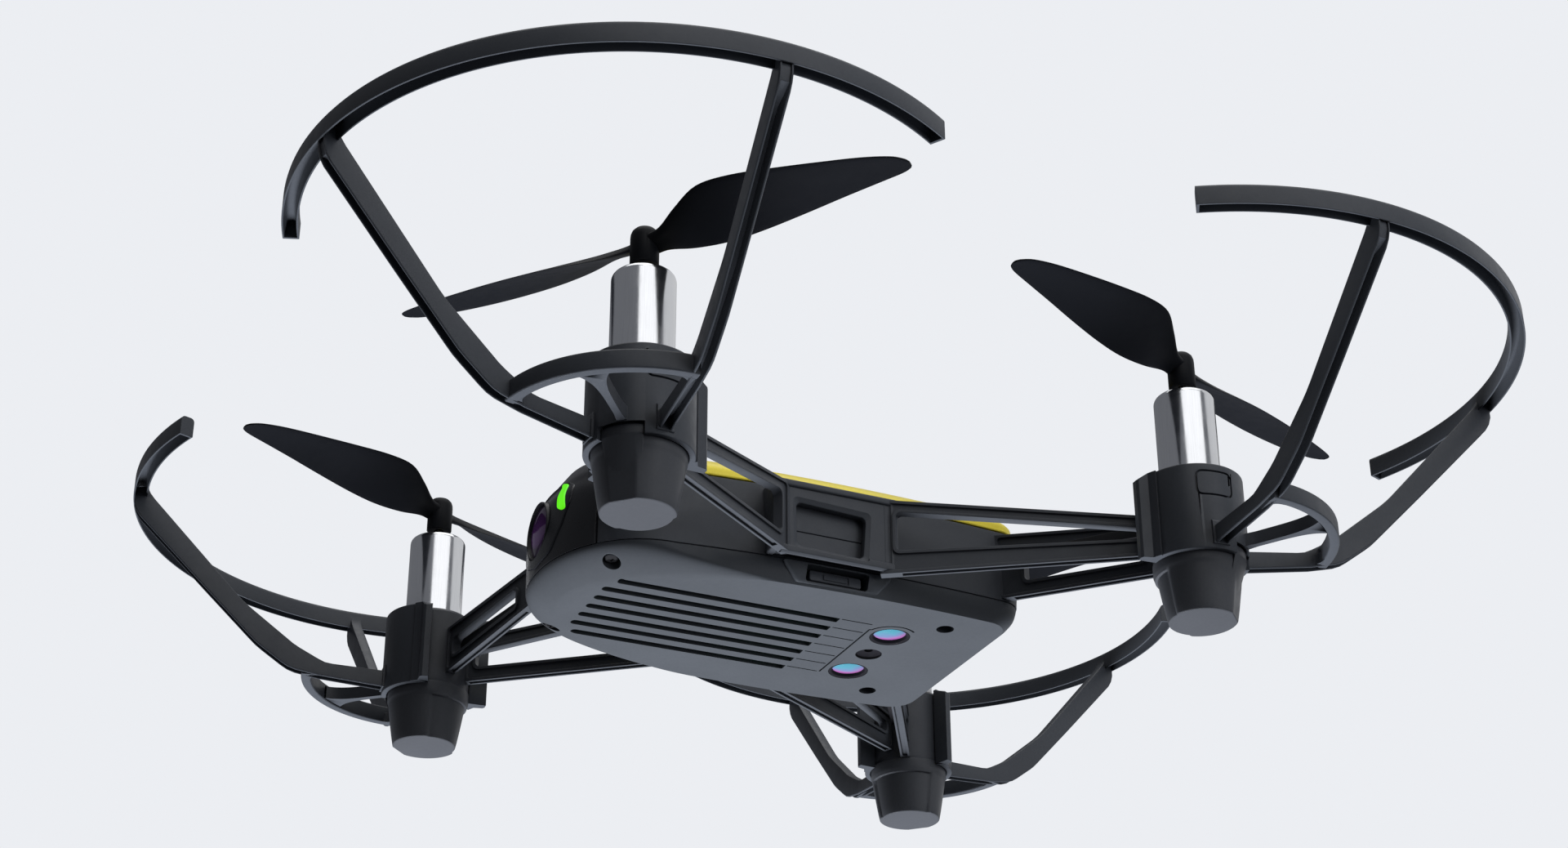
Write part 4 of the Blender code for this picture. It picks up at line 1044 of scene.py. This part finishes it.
def build_arms():
    for name, (root, end, root_z, socket_z, slot_root, slot_socket) in ARMS.items():
        axis = MOTOR_AXIS[end + "_left"]
        start = Vector(root)
        run = Vector((axis.x, axis.y)) - start
        length = run.length - (SOCKET_INNER_R + SOCKET_OUTER_R) / 2
        direction = math.degrees(math.atan2(run.y, run.x))

        def heights(pair_a, pair_b, s, inset=0.0):
            return lerp(pair_a[0], pair_b[0], s / length) + inset, lerp(pair_a[1], pair_b[1], s / length) - inset

        slot_start = 2.2 if name.startswith("long") else 5.0
        slot_end = length - 2.2
        low0, high0 = heights(root_z, socket_z, 0)
        low1, high1 = heights(root_z, socket_z, length)
        plate = upright([(0, low0), (length, low1), (length, high1), (0, high0)], direction, ARM_THICKNESS, root)

        def slot_shape(margin, radius, thickness, offset=0.0):
            a0, a1 = heights(slot_root, slot_socket, slot_start)
            b0, b1 = heights(slot_root, slot_socket, slot_end)
            outline = [
                (slot_start - margin, a0 - margin), (slot_end + margin, b0 - margin),
                (slot_end + margin, b1 + margin), (slot_start - margin, a1 + margin),
            ]
            return upright(rounded(outline, radius, 5), direction, thickness, root, offset)

        cutters = [slot_shape(0.0, 0.8, 8.0)]
        plate = cut(plate, *cutters)
        # recess both faces between an outer lip and the lip round the slot
        for face in (1, -1):
            s0, s1 = 0.8, length - 1.0
            a0, a1 = heights(root_z, socket_z, s0, RAIL_LIP)
            b0, b1 = heights(root_z, socket_z, s1, RAIL_LIP)
            field = upright(rounded([(s0, a0), (s1, b0), (s1, b1), (s0, a1)], 0.5, 4), direction, RAIL_RECESS, root,
                            face * (ARM_THICKNESS / 2 - RAIL_RECESS / 2 + 0.001))
            island = slot_shape(RAIL_LIP, 1.0, 8.0)
            plate = cut(plate, cut(field, island))
        # shallow channel along the underside of the lower rail
        under = []
        for s in (3.0, length - 1.2):
            low, _ = heights(root_z, socket_z, s)
            under.append((s, low))
        channel = upright([
            (under[0][0], under[0][1] - 1), (under[1][0], under[1][1] - 1),
            (under[1][0], under[1][1] + 0.36), (under[0][0], under[0][1] + 0.36),
        ], direction, ARM_THICKNESS - 0.7, root)
        plate = cut(plate, channel)
        mirrored_plate = plate.copy()
        bmesh.ops.transform(mirrored_plate, matrix=Matrix.Diagonal((-1, 1, 1, 1)), verts=mirrored_plate.verts)
        piece("arm_" + name + "_left", plate, "charcoal_plastic", AIRFRAME_BODY)
        piece("arm_" + name + "_right", mirrored_plate, "charcoal_plastic", AIRFRAME_BODY)


def build_sockets():
    profile = rounded([
        (SOCKET_INNER_R, SOCKET_BASE_Z + 0.4), (SOCKET_OUTER_R - 0.1, SOCKET_BASE_Z), (SOCKET_OUTER_R, SOCKET_BASE_Z + 1.2),
        (SOCKET_OUTER_R, SOCKET_TOP_Z - 0.5), (SOCKET_OUTER_R - 0.5, SOCKET_TOP_Z), (SOCKET_INNER_R, SOCKET_TOP_Z),
    ], 0.18, 3)
    for corner in CORNERS:
        bm = revolve(profile, 72)
        piece("motor_socket_" + corner, to_corner(bm, corner), "socket_plastic", AIRFRAME_BODY)
        bm.free()


# ---------------------------------------------------------------- feet

def foot_radius(base, angle_deg):
    """Foot section: flat outer facet, and a slightly sunk zone that faces the hull."""
    off = (angle_deg - FOOT_FACET_DEG + 180) % 360 - 180
    if abs(off) <= FOOT_FACET_HALF_DEG:
        return base * math.cos(math.radians(FOOT_FACET_HALF_DEG)) / math.cos(math.radians(off)) + 0.02
    inward = abs(abs(off) - 180)
    step = min(1.0, max(0.0, (58.0 - inward) / 2.5))
    return base - 0.30 * step


def build_feet():
    segments = 120
    profile = []
    steps = 7
    for k in range(steps + 1):
        t = k / steps
        profile.append((lerp(FOOT_SOLE_R, FOOT_TOP_R, t ** 0.9), lerp(0.22, FOOT_RING_LOW_Z - 0.25, t)))
    for corner in CORNERS:
        loops = []
        sole = [(FOOT_SOLE_R - 0.30, 0.0), (FOOT_SOLE_R - 0.14, 0.02), (FOOT_SOLE_R - 0.04, 0.10)]
        for base, z in sole + profile:
            loops.append([(foot_radius(base, 360 * k / segments), 360 * k / segments, z) for k in range(segments)])
        for base, z in ((FOOT_TOP_R + 0.02, FOOT_RING_LOW_Z - 0.12), (FOOT_RING_R - 0.10, FOOT_RING_LOW_Z + 0.25), (FOOT_RING_R, FOOT_RING_LOW_Z + 0.55),
                        (FOOT_RING_R, FOOT_RING_TOP_Z + 1.0), (FOOT_RING_R - 0.08, FOOT_RING_TOP_Z + 1.0), (FOOT_RING_R - 0.08, FOOT_RING_TOP_Z + 0.1),
                        (4.3, FOOT_RING_TOP_Z), (4.2, 11.5)):
            loops.append([(base, 360 * k / segments, z) for k in range(segments)])
        solid = []
        for loop in loops:
            solid.append([(r * math.cos(math.radians(a)), r * math.sin(math.radians(a)), z) for r, a, z in loop])
        foot = loft(solid)
        # tab that pokes up into the guard collar's notch
        tab = rounded([(4.6, 3.0), (5.0, 3.6), (6.5, 8.0), (6.52, FOOT_TAB_TOP_Z), (5.9, FOOT_TAB_TOP_Z)], [0, 0.3, 0.5, 0.08, 0], 3)
        foot = join(foot, sweep_arc(tab, FOOT_TAB_DEG - FOOT_TAB_HALF_DEG, FOOT_TAB_DEG + FOOT_TAB_HALF_DEG, 16))
        moved = to_corner(foot, corner)
        foot.free()
        piece("foot_" + corner, moved, "foot_rubber", AIRFRAME_BODY, ["landing_foot_" + corner])


# ---------------------------------------------------------------- motors and propellers

def build_motors():
    top = CAN_HIGH.z - 0.5
    base = CAN_LOW.z
    r = (CAN_HIGH.x - CAN_LOW.x) / 2
    for corner in CORNERS:
        can = [(r, base), (r, top - 0.9)]
        for k in range(1, 7):
            t = math.radians(90 * k / 6)
            can.append((r - 0.8 + 0.8 * math.cos(t), top - 0.9 + 0.8 * math.sin(t) + 0.1 * k / 6))
        can += [
            (2.2, top), (2.1, top + 0.08), (1.6, top + 0.1), (1.5, top + 0.42), (1.4, top + 0.5), (0.86, top + 0.5),
            (0.85, top - 0.6), (r - 0.4, top - 0.95), (r - 0.4, base),
        ]
        bm = revolve(can, 72)
        piece("can_" + corner, to_corner(bm, corner), "motor_steel", AIRFRAME_BODY, ["motor_can_" + corner], 45)
        bm.free()
        low, high = node_box("motor_rotor_" + corner)
        shaft = [
            (0, base + 1.4), (0.5, base + 1.4), (0.5, base + 2.2), (3.2, base + 2.2), (3.2, top - 2.6),
            (0.5, top - 2.6), (0.5, high.z - 0.1), (0.4, high.z), (0, high.z),
        ]
        bm = revolve(shaft, 32)
        piece("shaft_" + corner, to_corner(bm, corner), "shaft_steel", "rotor_" + corner, ["motor_rotor_" + corner], 40)
        bm.free()


BLADE_REST_DEG = {"front_left": 34.5, "rear_left": 116.0, "front_right": 117.0, "rear_right": 34.5}
# blade stations: radius, chord, pitch, sweep, lift, thickness
BLADE_STATIONS = [
    (1.0, 3.0, 34, 0.0, 0.0, 1.7),
    (3.2, 3.4, 34, 0.2, 0.0, 1.35),
    (6.5, 6.2, 31, 0.6, 0.1, 1.10),
    (11.0, 9.1, 25.5, 1.1, 0.3, 0.98),
    (16.0, 9.5, 20.5, 1.0, 0.45, 0.90),
    (22.0, 8.4, 16, 0.55, 0.6, 0.80),
    (28.0, 6.7, 12.5, 0.0, 0.72, 0.70),
    (33.0, 5.0, 10.5, -0.6, 0.8, 0.62),
    (36.3, 3.4, 9.5, -1.15, 0.8, 0.54),
    (37.6, 2.0, 9, -1.5, 0.8, 0.46),
    (38.0, 0.9, 9, -1.65, 0.8, 0.36),
]


def blade(hand, blade_z):
    """One blade along +X with a rounded nose, a thin tail and a little camber."""
    loops = []
    count = len(BLADE_STATIONS)
    steps = (count - 1) * 5
    for k in range(steps + 1):
        r, chord, pitch, sweep, lift, thick = catmull(BLADE_STATIONS, (count - 1) * k / steps)
        tilt = math.radians(pitch * hand)
        loop = []
        for m in range(20):
            t = 2 * math.pi * m / 20
            across = chord / 2 * math.cos(t)
            share = (1 + math.cos(t)) / 2
            up = thick / 2 * math.sin(t) * (0.55 + 0.65 * share)
            up += 0.045 * chord * (1 - math.cos(t) ** 2)
            across += sweep
            across *= hand
            y = across * math.cos(tilt) - up * math.sin(tilt)
            z = across * math.sin(tilt) + up * math.cos(tilt)
            loop.append((r, y, blade_z + lift + z))
        loops.append(loop)
    return loft(loops)


def build_propellers():
    hub_top = PROP_HIGH.z
    hub_base = hub_top - 5.5
    blade_z = hub_top - 2.6
    for corner, (sx, sy) in CORNERS.items():
        hand = sx * sy
        hub = [(0, hub_base + 4.4), (0.72, hub_base + 4.4), (0.72, hub_base + 0.1), (0.85, hub_base), (1.75, hub_base), (1.9, hub_base + 0.15)]
        hub += [(1.9, hub_top - 1.55), (1.86, hub_top - 1.1), (1.7, hub_top - 0.62), (1.35, hub_top - 0.24), (0.8, hub_top - 0.05), (0, hub_top)]
        bm = revolve(hub, 48)
        blades = []
        for half_turn in (0, math.pi):
            one = blade(hand, blade_z)
            bmesh.ops.transform(one, matrix=Matrix.Rotation(half_turn, 4, "Z"), verts=one.verts)
            blades.append(one)
        bm = join(bm, *blades)
        axis = MOTOR_AXIS[corner]
        place = Matrix.Translation((axis.x, axis.y, 0)) @ Matrix.Rotation(math.radians(BLADE_REST_DEG[corner]), 4, "Z")
        bmesh.ops.transform(bm, matrix=place, verts=bm.verts)
        piece("prop_" + corner, bm, "propeller_plastic", "rotor_" + corner, ["propeller_" + corner], 50)


# ---------------------------------------------------------------- guards

def strut(sign):
    """One strut: a channel section that runs from the collar up to the ring."""
    top = rounded([(6.7, 11.1), (15.6, 11.7), (20.2, 14.2), (28.4, 20.6), (43.6, 36.9), (44.3, 38.2)], [0, 4, 7, 20, 1.5, 0], 8, closed=False)
    low = rounded([(6.7, 8.5), (16.4, 9.6), (20.9, 10.5), (26.0, 14.2), (34.5, 22.7), (45.5, 33.9), (46.2, 36.0), (45.9, 38.0)],
                  [0, 4, 6, 12, 20, 1.8, 1.2, 0], 8, closed=False)
    count = 44
    t = math.radians(STRUT_DEG)
    along = Vector((math.cos(t), sign * math.sin(t), 0))
    out = Vector((-math.sin(t), sign * math.cos(t), 0))
    origin = out * STRUT_OFFSET
    half = STRUT_WIDTH / 2
    edge = 0.22
    wall = STRUT_WALL
    loops = []
    for k, (a, b) in enumerate(zip(resample(top, count), resample(low, count))):
        thick = (b - a).length
        # the channel runs out just before the strut meets the ring
        closing = max(0.0, min(1.0, (k / (count - 1) - 0.88) / 0.05))
        floor_at = lerp(min(1.05, thick * 0.4), thick - 0.25, closing)
        section = [
            (-half + edge, 0), (half - edge, 0), (half - edge * 0.3, edge * 0.3), (half, edge), (half, thick - 0.15), (half - 0.12, thick),
            (half - wall + 0.06, thick), (half - wall, thick - 0.1), (half - wall, floor_at), (-half + wall, floor_at), (-half + wall, thick - 0.1),
            (-half + wall - 0.06, thick), (-half + 0.12, thick), (-half, thick - 0.15), (-half, edge), (-half + edge * 0.3, edge * 0.3),
        ]
        loop = []
        for lateral, depth in section:
            p = a.lerp(b, depth / thick)
            loop.append(origin + along * p.x + out * lateral + Vector((0, 0, p.y)))
        loops.append(loop)
    return loft(loops)


def strut_point(r, sign, lateral=0.0):
    """Plan point on a strut's centre line, lateral millimetres to its outer side."""
    t = math.radians(STRUT_DEG)
    along = Vector((math.cos(t), sign * math.sin(t)))
    out = Vector((-math.sin(t), sign * math.cos(t)))
    return out * (STRUT_OFFSET + lateral) + along * r


def guard_shape():
    """Guard about its own axis, which points along +X."""
    ring = rounded([
        (RING_INNER_R, RING_BASE_Z), (RING_OUTER_R, RING_BASE_Z), (RING_OUTER_R, RING_TOP_Z), (RING_INNER_R, RING_TOP_Z),
    ], [0.08, 0.08, 0.6, 0.6], 4)
    channel = rounded([
        (RING_INNER_R + RING_WALL - 0.06, RING_BASE_Z - 2), (RING_OUTER_R - RING_WALL + 0.06, RING_BASE_Z - 2),
        (RING_OUTER_R - RING_WALL + 0.06, RING_BASE_Z), (RING_OUTER_R - RING_WALL - 0.25, RING_TOP_Z - 0.8),
        (RING_INNER_R + RING_WALL + 0.25, RING_TOP_Z - 0.8), (RING_INNER_R + RING_WALL - 0.06, RING_BASE_Z),
    ], [0, 0, 0, 0.35, 0.35, 0], 3)
    collar = rounded([
        (COLLAR_INNER_R, COLLAR_BASE_Z), (COLLAR_OUTER_R, COLLAR_BASE_Z), (COLLAR_OUTER_R, COLLAR_TOP_Z), (COLLAR_INNER_R, COLLAR_TOP_Z),
    ], [0.1, 0.15, 0.3, 0.15], 3)
    brace = rounded([
        (BRACE_INNER_R, BRACE_BASE_Z), (BRACE_OUTER_R, BRACE_BASE_Z), (BRACE_OUTER_R, BRACE_TOP_Z), (BRACE_INNER_R, BRACE_TOP_Z),
    ], 0.25, 3)
    body = sweep_arc(collar, COLLAR_START_DEG, COLLAR_END_DEG, 96)

    # clip lips at both ends of the collar, with a ramp where they leave the wall
    lips = []
    for angle, sign in ((COLLAR_END_DEG, 1), (COLLAR_START_DEG, -1)):
        t = math.radians(angle)
        along = Vector((math.cos(t), math.sin(t)))
        back = Vector((math.sin(t), -math.cos(t))) * sign
        plan = [
            along * (COLLAR_INNER_R + 0.15), along * LIP_R, along * LIP_R + back * 0.9, along * (LIP_R - 0.25) + back * 1.25,
            along * (COLLAR_OUTER_R + 0.35) + back * 1.5, along * (COLLAR_OUTER_R - 0.25) + back * 2.6, along * (COLLAR_INNER_R + 0.1) + back * 2.2,
        ]

        def lip_top(x, y):
            r = math.hypot(x, y)
            return COLLAR_TOP_Z - 0.05 - max(0.0, r - COLLAR_OUTER_R - 0.5) * 0.75

        lips.append(prism([tuple(p) for p in plan], COLLAR_BASE_Z, lip_top))

    # middle rib, which flares where it meets the brace
    rib_plan = []
    for k in range(25):
        t = k / 24
        x = lerp(6.5, 18.3, t)
        half = 0.48 + 2.4 * t ** 6 + 0.25 * max(0.0, 1 - t * 6)
        rib_plan.append((x, half))
    rib_plan = [(x, -h) for x, h in rib_plan] + [(x, h) for x, h in reversed(rib_plan)]

    def rib_low(x, y):
        return lerp(9.5, BRACE_BASE_Z + 0.35, (x - 6.5) / 11.8)

    def rib_high(x, y):
        return lerp(11.3, BRACE_TOP_Z - 0.35, (x - 6.5) / 11.8)

    parts = [prism(rib_plan, rib_low, rib_high)]
    brace_reach = STRUT_DEG + math.degrees(STRUT_OFFSET / 18.0)
    parts.append(sweep_arc(brace, -brace_reach, brace_reach, 40))
    for sign in (1, -1):
        # small web in the corner between brace and strut
        corner = strut_point(BRACE_INNER_R - 0.1, sign, -STRUT_WIDTH / 2 + 0.2)
        inner = strut_point(BRACE_INNER_R - 3.0, sign, -STRUT_WIDTH / 2 + 0.2)
        turn = math.radians(brace_reach - 11.0) * sign
        side = Vector((math.cos(turn), math.sin(turn))) * (BRACE_INNER_R + 0.2)
        web = rounded([tuple(side), tuple(corner), tuple(inner)], 1.6, 6, closed=False)
        beyond = strut_point(BRACE_INNER_R + 0.6, sign, 0.0)
        parts.append(prism([tuple(beyond)] + web, BRACE_BASE_Z + 0.05, BRACE_BASE_Z + 1.5))
        # end plate that spreads the strut's load on the collar
        t = math.radians(math.degrees(math.asin(STRUT_OFFSET / 7.0)) + STRUT_DEG) * sign
        parts.append(upright(rounded([(6.4, 8.4), (7.2, 8.4), (7.2, 11.9), (6.4, 11.9)], [0, 0.1, 0.35, 0], 3), math.degrees(t), 2.4))
    body = join(body, *lips)
    body = join(body, *parts)
    body = join(body, strut(1), strut(-1))
    hoop = sweep_arc(ring, -RING_FRONT_SPAN, RING_REAR_SPAN, 110, RING_SHIFT)
    hoop = cut(hoop, sweep_arc(channel, -RING_FRONT_SPAN + 0.45, RING_REAR_SPAN - 0.45, 108, RING_SHIFT))
    body = join(body, hoop)

    # latch outline on the collar, a rounded groove
    centre_z = (LATCH_BASE_Z + LATCH_TOP_Z) / 2
    half_z = (LATCH_TOP_Z - LATCH_BASE_Z) / 2
    half_s = math.radians(LATCH_HALF_DEG) * COLLAR_OUTER_R
    flat = rounded([(-half_s, -half_z), (half_s, -half_z), (half_s, half_z), (-half_s, half_z)], 0.8, 6)
    flat = resample(flat + flat[:1], 73)[:-1]
    points = []
    for s, z in flat:
        t = s / COLLAR_OUTER_R + math.radians(LATCH_DEG)
        points.append(Vector((COLLAR_OUTER_R * math.cos(t), COLLAR_OUTER_R * math.sin(t), centre_z + z)))
    body = cut(body, tube(points, 0.15, 0.38, lambda p: Vector((p.x, p.y, 0)).normalized()))
    # notch in the collar's lower edge for the foot's tab
    off = FOOT_TAB_DEG - GUARD_AXIS_DEG
    notch = [(5.0, 6.0), (9.0, 6.0), (9.0, FOOT_TAB_TOP_Z - 1.1), (COLLAR_OUTER_R, FOOT_TAB_TOP_Z + 0.1), (5.0, FOOT_TAB_TOP_Z + 1.3)]
    notch_half = FOOT_TAB_HALF_DEG + 0.9
    body = cut(body, sweep_arc(notch, off - notch_half, off + notch_half, 16))
    return body


def build_guards():
    shape = guard_shape()
    bmesh.ops.transform(shape, matrix=Matrix.Rotation(math.radians(GUARD_AXIS_DEG), 4, "Z"), verts=shape.verts)
    for corner in CORNERS:
        piece("guard_" + corner, to_corner(shape, corner), "guard_plastic", AIRFRAME_BODY, ["prop_guard_" + corner], 30)
    shape.free()


# ---------------------------------------------------------------- battery

def build_battery():
    """Battery pack: wrapped cell, parting grooves, a sunk panel and a ribbed grip."""
    low, high = node_box("battery")
    mid = (low + high) / 2
    pack = block(low, high, 0.9, 4)
    cutters = []
    # parting grooves of the end caps, all the way round
    for y in (low.y + 6.0, high.y - 6.0):
        cutters.append(block((low.x - 1, y, low.z - 1), (low.x + 0.25, y + 0.3, high.z + 1)))
        cutters.append(block((high.x - 0.25, y, low.z - 1), (high.x + 1, y + 0.3, high.z + 1)))
        cutters.append(block((low.x - 1, y, low.z - 1), (high.x + 1, y + 0.3, low.z + 0.25)))
        cutters.append(block((low.x - 1, y, high.z - 0.25), (high.x + 1, y + 0.3, high.z + 1)))
    # shallow panels on the top and the bottom of the cell
    panel = rounded([
        (low.x + 3, low.y + 9), (high.x - 3, low.y + 9), (high.x - 3, high.y - 9), (low.x + 3, high.y - 9),
    ], 1.5, 6)
    cutters.append(prism(panel, high.z - 0.2, high.z + 1))
    cutters.append(prism(panel, low.z - 1, low.z + 0.2))
    # ribbed grip across the outer end
    for k in range(5):
        x = mid.x + (k - 2) * 2.4
        cutters.append(block((x - 0.5, high.y - 0.5, low.z + 1.6), (x + 0.5, high.y + 1, high.z - 1.6), 0.15, 2))
    # finger notch in the upper edge of the outer end
    cutters.append(block((mid.x - 4.5, high.y - 1.1, high.z - 0.7), (mid.x + 4.5, high.y + 1, high.z + 1), 0.3, 3))
    pack = cut(pack, *cutters)
    piece("battery_pack", pack, "battery_wrap", "battery_body", ["battery"])


# ---------------------------------------------------------------- carried-over nodes

CARRIED = {
    "battery_contacts": "copper",
    "main_board": "circuit_board",
    "power_board": "circuit_board",
    "sensor_board": "circuit_board",
    "shield_can": "shield_metal",
    "aerial_left": "copper",
    "aerial_right": "copper",
    "camera_module": "fascia_plastic",
    "power_switch": "shield_metal",
    "charging_port": "shield_metal",
}


def dress_carried():
    for corner in CORNERS:
        CARRIED["motor_lead_" + corner] = "lead_jacket"
        CARRIED["motor_end_cap_" + corner] = "fascia_plastic"
    for node, slot in CARRIED.items():
        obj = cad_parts[node]
        obj.data.materials.clear()
        obj.data.materials.append(finish(slot))


# ---------------------------------------------------------------- stage, light and camera

CAMERA_TARGET = Vector((-0.778, -0.776, 42.326))
CAMERA_POSITION = Vector((308.306, -140.964, -137.236))
CAMERA_ROLL_DEG = -0.19
LENS_MM = 59.34
SENSOR_MM = 36.0
BACKGROUND = (0.838, 0.855, 0.890)
ROOM_SHINY = (0.155, 0.160, 0.175)
ROOM_DULL = (0.030, 0.031, 0.034)
FLOOR_GLOW = 0.55
FLOOR_FADE_START = 0.10
FLOOR_FADE_END = 0.45


def soft_box(name, azimuth, elevation, distance, width, height, radiance, mirrored=True):
    """A rectangular light that faces the drone; angles in degrees, sizes in metres."""
    a, e = math.radians(azimuth), math.radians(elevation)
    away = Vector((math.cos(a) * math.cos(e), math.sin(a) * math.cos(e), math.sin(e)))
    data = bpy.data.lights.new(name, "AREA")
    data.shape = "RECTANGLE"
    data.size = width
    data.size_y = height
    data.energy = radiance * math.pi * width * height
    obj = bpy.data.objects.new(name, data)
    obj.location = Vector((0, 0, 0.02)) + away * distance
    obj.rotation_mode = "QUATERNION"
    obj.rotation_quaternion = away.to_track_quat("Z", "Y")
    obj.visible_camera = False
    obj.visible_glossy = mirrored
    bpy.context.scene.collection.objects.link(obj)


def build_stage():
    scene = bpy.context.scene
    world = bpy.data.worlds.new("studio")
    scene.world = world
    world.use_nodes = True
    tree = world.node_tree
    tree.nodes.clear()
    out = tree.nodes.new("ShaderNodeOutputWorld")
    path = tree.nodes.new("ShaderNodeLightPath")
    # the camera sees the backdrop, shiny surfaces a grey room, and matt ones a darker one
    shade = None
    for ray, colour in ((None, ROOM_DULL), ("Is Glossy Ray", ROOM_SHINY), ("Is Camera Ray", BACKGROUND)):
        layer = tree.nodes.new("ShaderNodeBackground")
        layer.inputs["Color"].default_value = (*colour, 1)
        if ray:
            mix = tree.nodes.new("ShaderNodeMixShader")
            tree.links.new(path.outputs[ray], mix.inputs["Fac"])
            tree.links.new(shade.outputs[0], mix.inputs[1])
            tree.links.new(layer.outputs[0], mix.inputs[2])
            layer = mix
        shade = layer
    tree.links.new(shade.outputs[0], out.inputs["Surface"])

    soft_box("under_light", 176, -60, 0.9, 0.5, 0.5, 47.0, mirrored=False)
    soft_box("key_light", 0, 30, 0.9, 1.05, 0.7, 1.15)
    soft_box("key_fill", 34, 4, 0.9, 0.8, 0.7, 3.8, mirrored=False)
    soft_box("side_light", 100, 30, 0.9, 1.4, 0.8, 0.5)
    soft_box("top_light", 20, 85, 1.0, 1.1, 1.1, 1.5)

    # pale floor just under the feet; seen only from above, and it blocks no light
    bm = bmesh.new()
    bmesh.ops.create_circle(bm, cap_ends=True, segments=96, radius=2500)
    bmesh.ops.scale(bm, vec=(MM, MM, MM), verts=bm.verts)
    mesh = bpy.data.meshes.new("floor")
    bm.to_mesh(mesh)
    bm.free()
    floor = bpy.data.objects.new("floor", mesh)
    floor.location.z = -0.0003
    scene.collection.objects.link(floor)
    n = Nodes("floor")
    n.link(n.tint((0.80, 0.81, 0.83), n.ramp(n.noise(60.0), 0.985, 1.015)), n.shader.inputs["Base Color"])
    n.shader.inputs["Roughness"].default_value = 0.8
    # away from the drone the floor turns into the even tone of the backdrop
    far = n.add("ShaderNodeVectorMath", operation="LENGTH")
    n.link(n.coords, far.inputs[0])
    fade = n.ramp(far.outputs["Value"], FLOOR_GLOW, 1.0, FLOOR_FADE_START, FLOOR_FADE_END)
    glow = n.add("ShaderNodeEmission")
    glow.inputs["Color"].default_value = (*BACKGROUND, 1)
    faded = n.add("ShaderNodeMixShader")
    n.link(fade, faded.inputs["Fac"])
    n.link(n.shader.outputs[0], faded.inputs[1])
    n.link(glow.outputs[0], faded.inputs[2])
    clear = n.add("ShaderNodeBsdfTransparent")
    side = n.add("ShaderNodeNewGeometry")
    either = n.add("ShaderNodeMixShader")
    n.link(side.outputs["Backfacing"], either.inputs["Fac"])
    n.link(faded.outputs[0], either.inputs[1])
    n.link(clear.outputs[0], either.inputs[2])
    n.link(either.outputs[0], n.tree.nodes["Material Output"].inputs["Surface"])
    mesh.materials.append(n.material)
    for ray in ("diffuse", "glossy", "transmission", "shadow", "volume_scatter"):
        setattr(floor, "visible_" + ray, False)

    camera_data = bpy.data.cameras.new("camera")
    camera_data.lens = LENS_MM
    camera_data.sensor_width = SENSOR_MM
    camera_data.clip_start = 0.01
    camera_data.clip_end = 20
    camera = bpy.data.objects.new("camera", camera_data)
    scene.collection.objects.link(camera)
    ahead = (CAMERA_TARGET - CAMERA_POSITION).normalized()
    right = ahead.cross(Vector((0, 0, 1))).normalized()
    up = right.cross(ahead)
    roll = math.radians(CAMERA_ROLL_DEG)
    right, up = right * math.cos(roll) + up * math.sin(roll), up * math.cos(roll) - right * math.sin(roll)
    turn = Matrix((right, up, -ahead)).transposed()
    camera.matrix_world = Matrix.Translation(CAMERA_POSITION * MM) @ turn.to_4x4()
    scene.camera = camera
    scene.view_settings.view_transform = "Standard"


# ---------------------------------------------------------------- build

build_hull()
build_nose()
build_belly()
build_sensors()
build_button()
build_panels()
build_arms()
build_sockets()
build_feet()
build_motors()
build_propellers()
build_guards()
build_battery()
dress_carried()
build_stage()

bpy.context.view_layer.update()
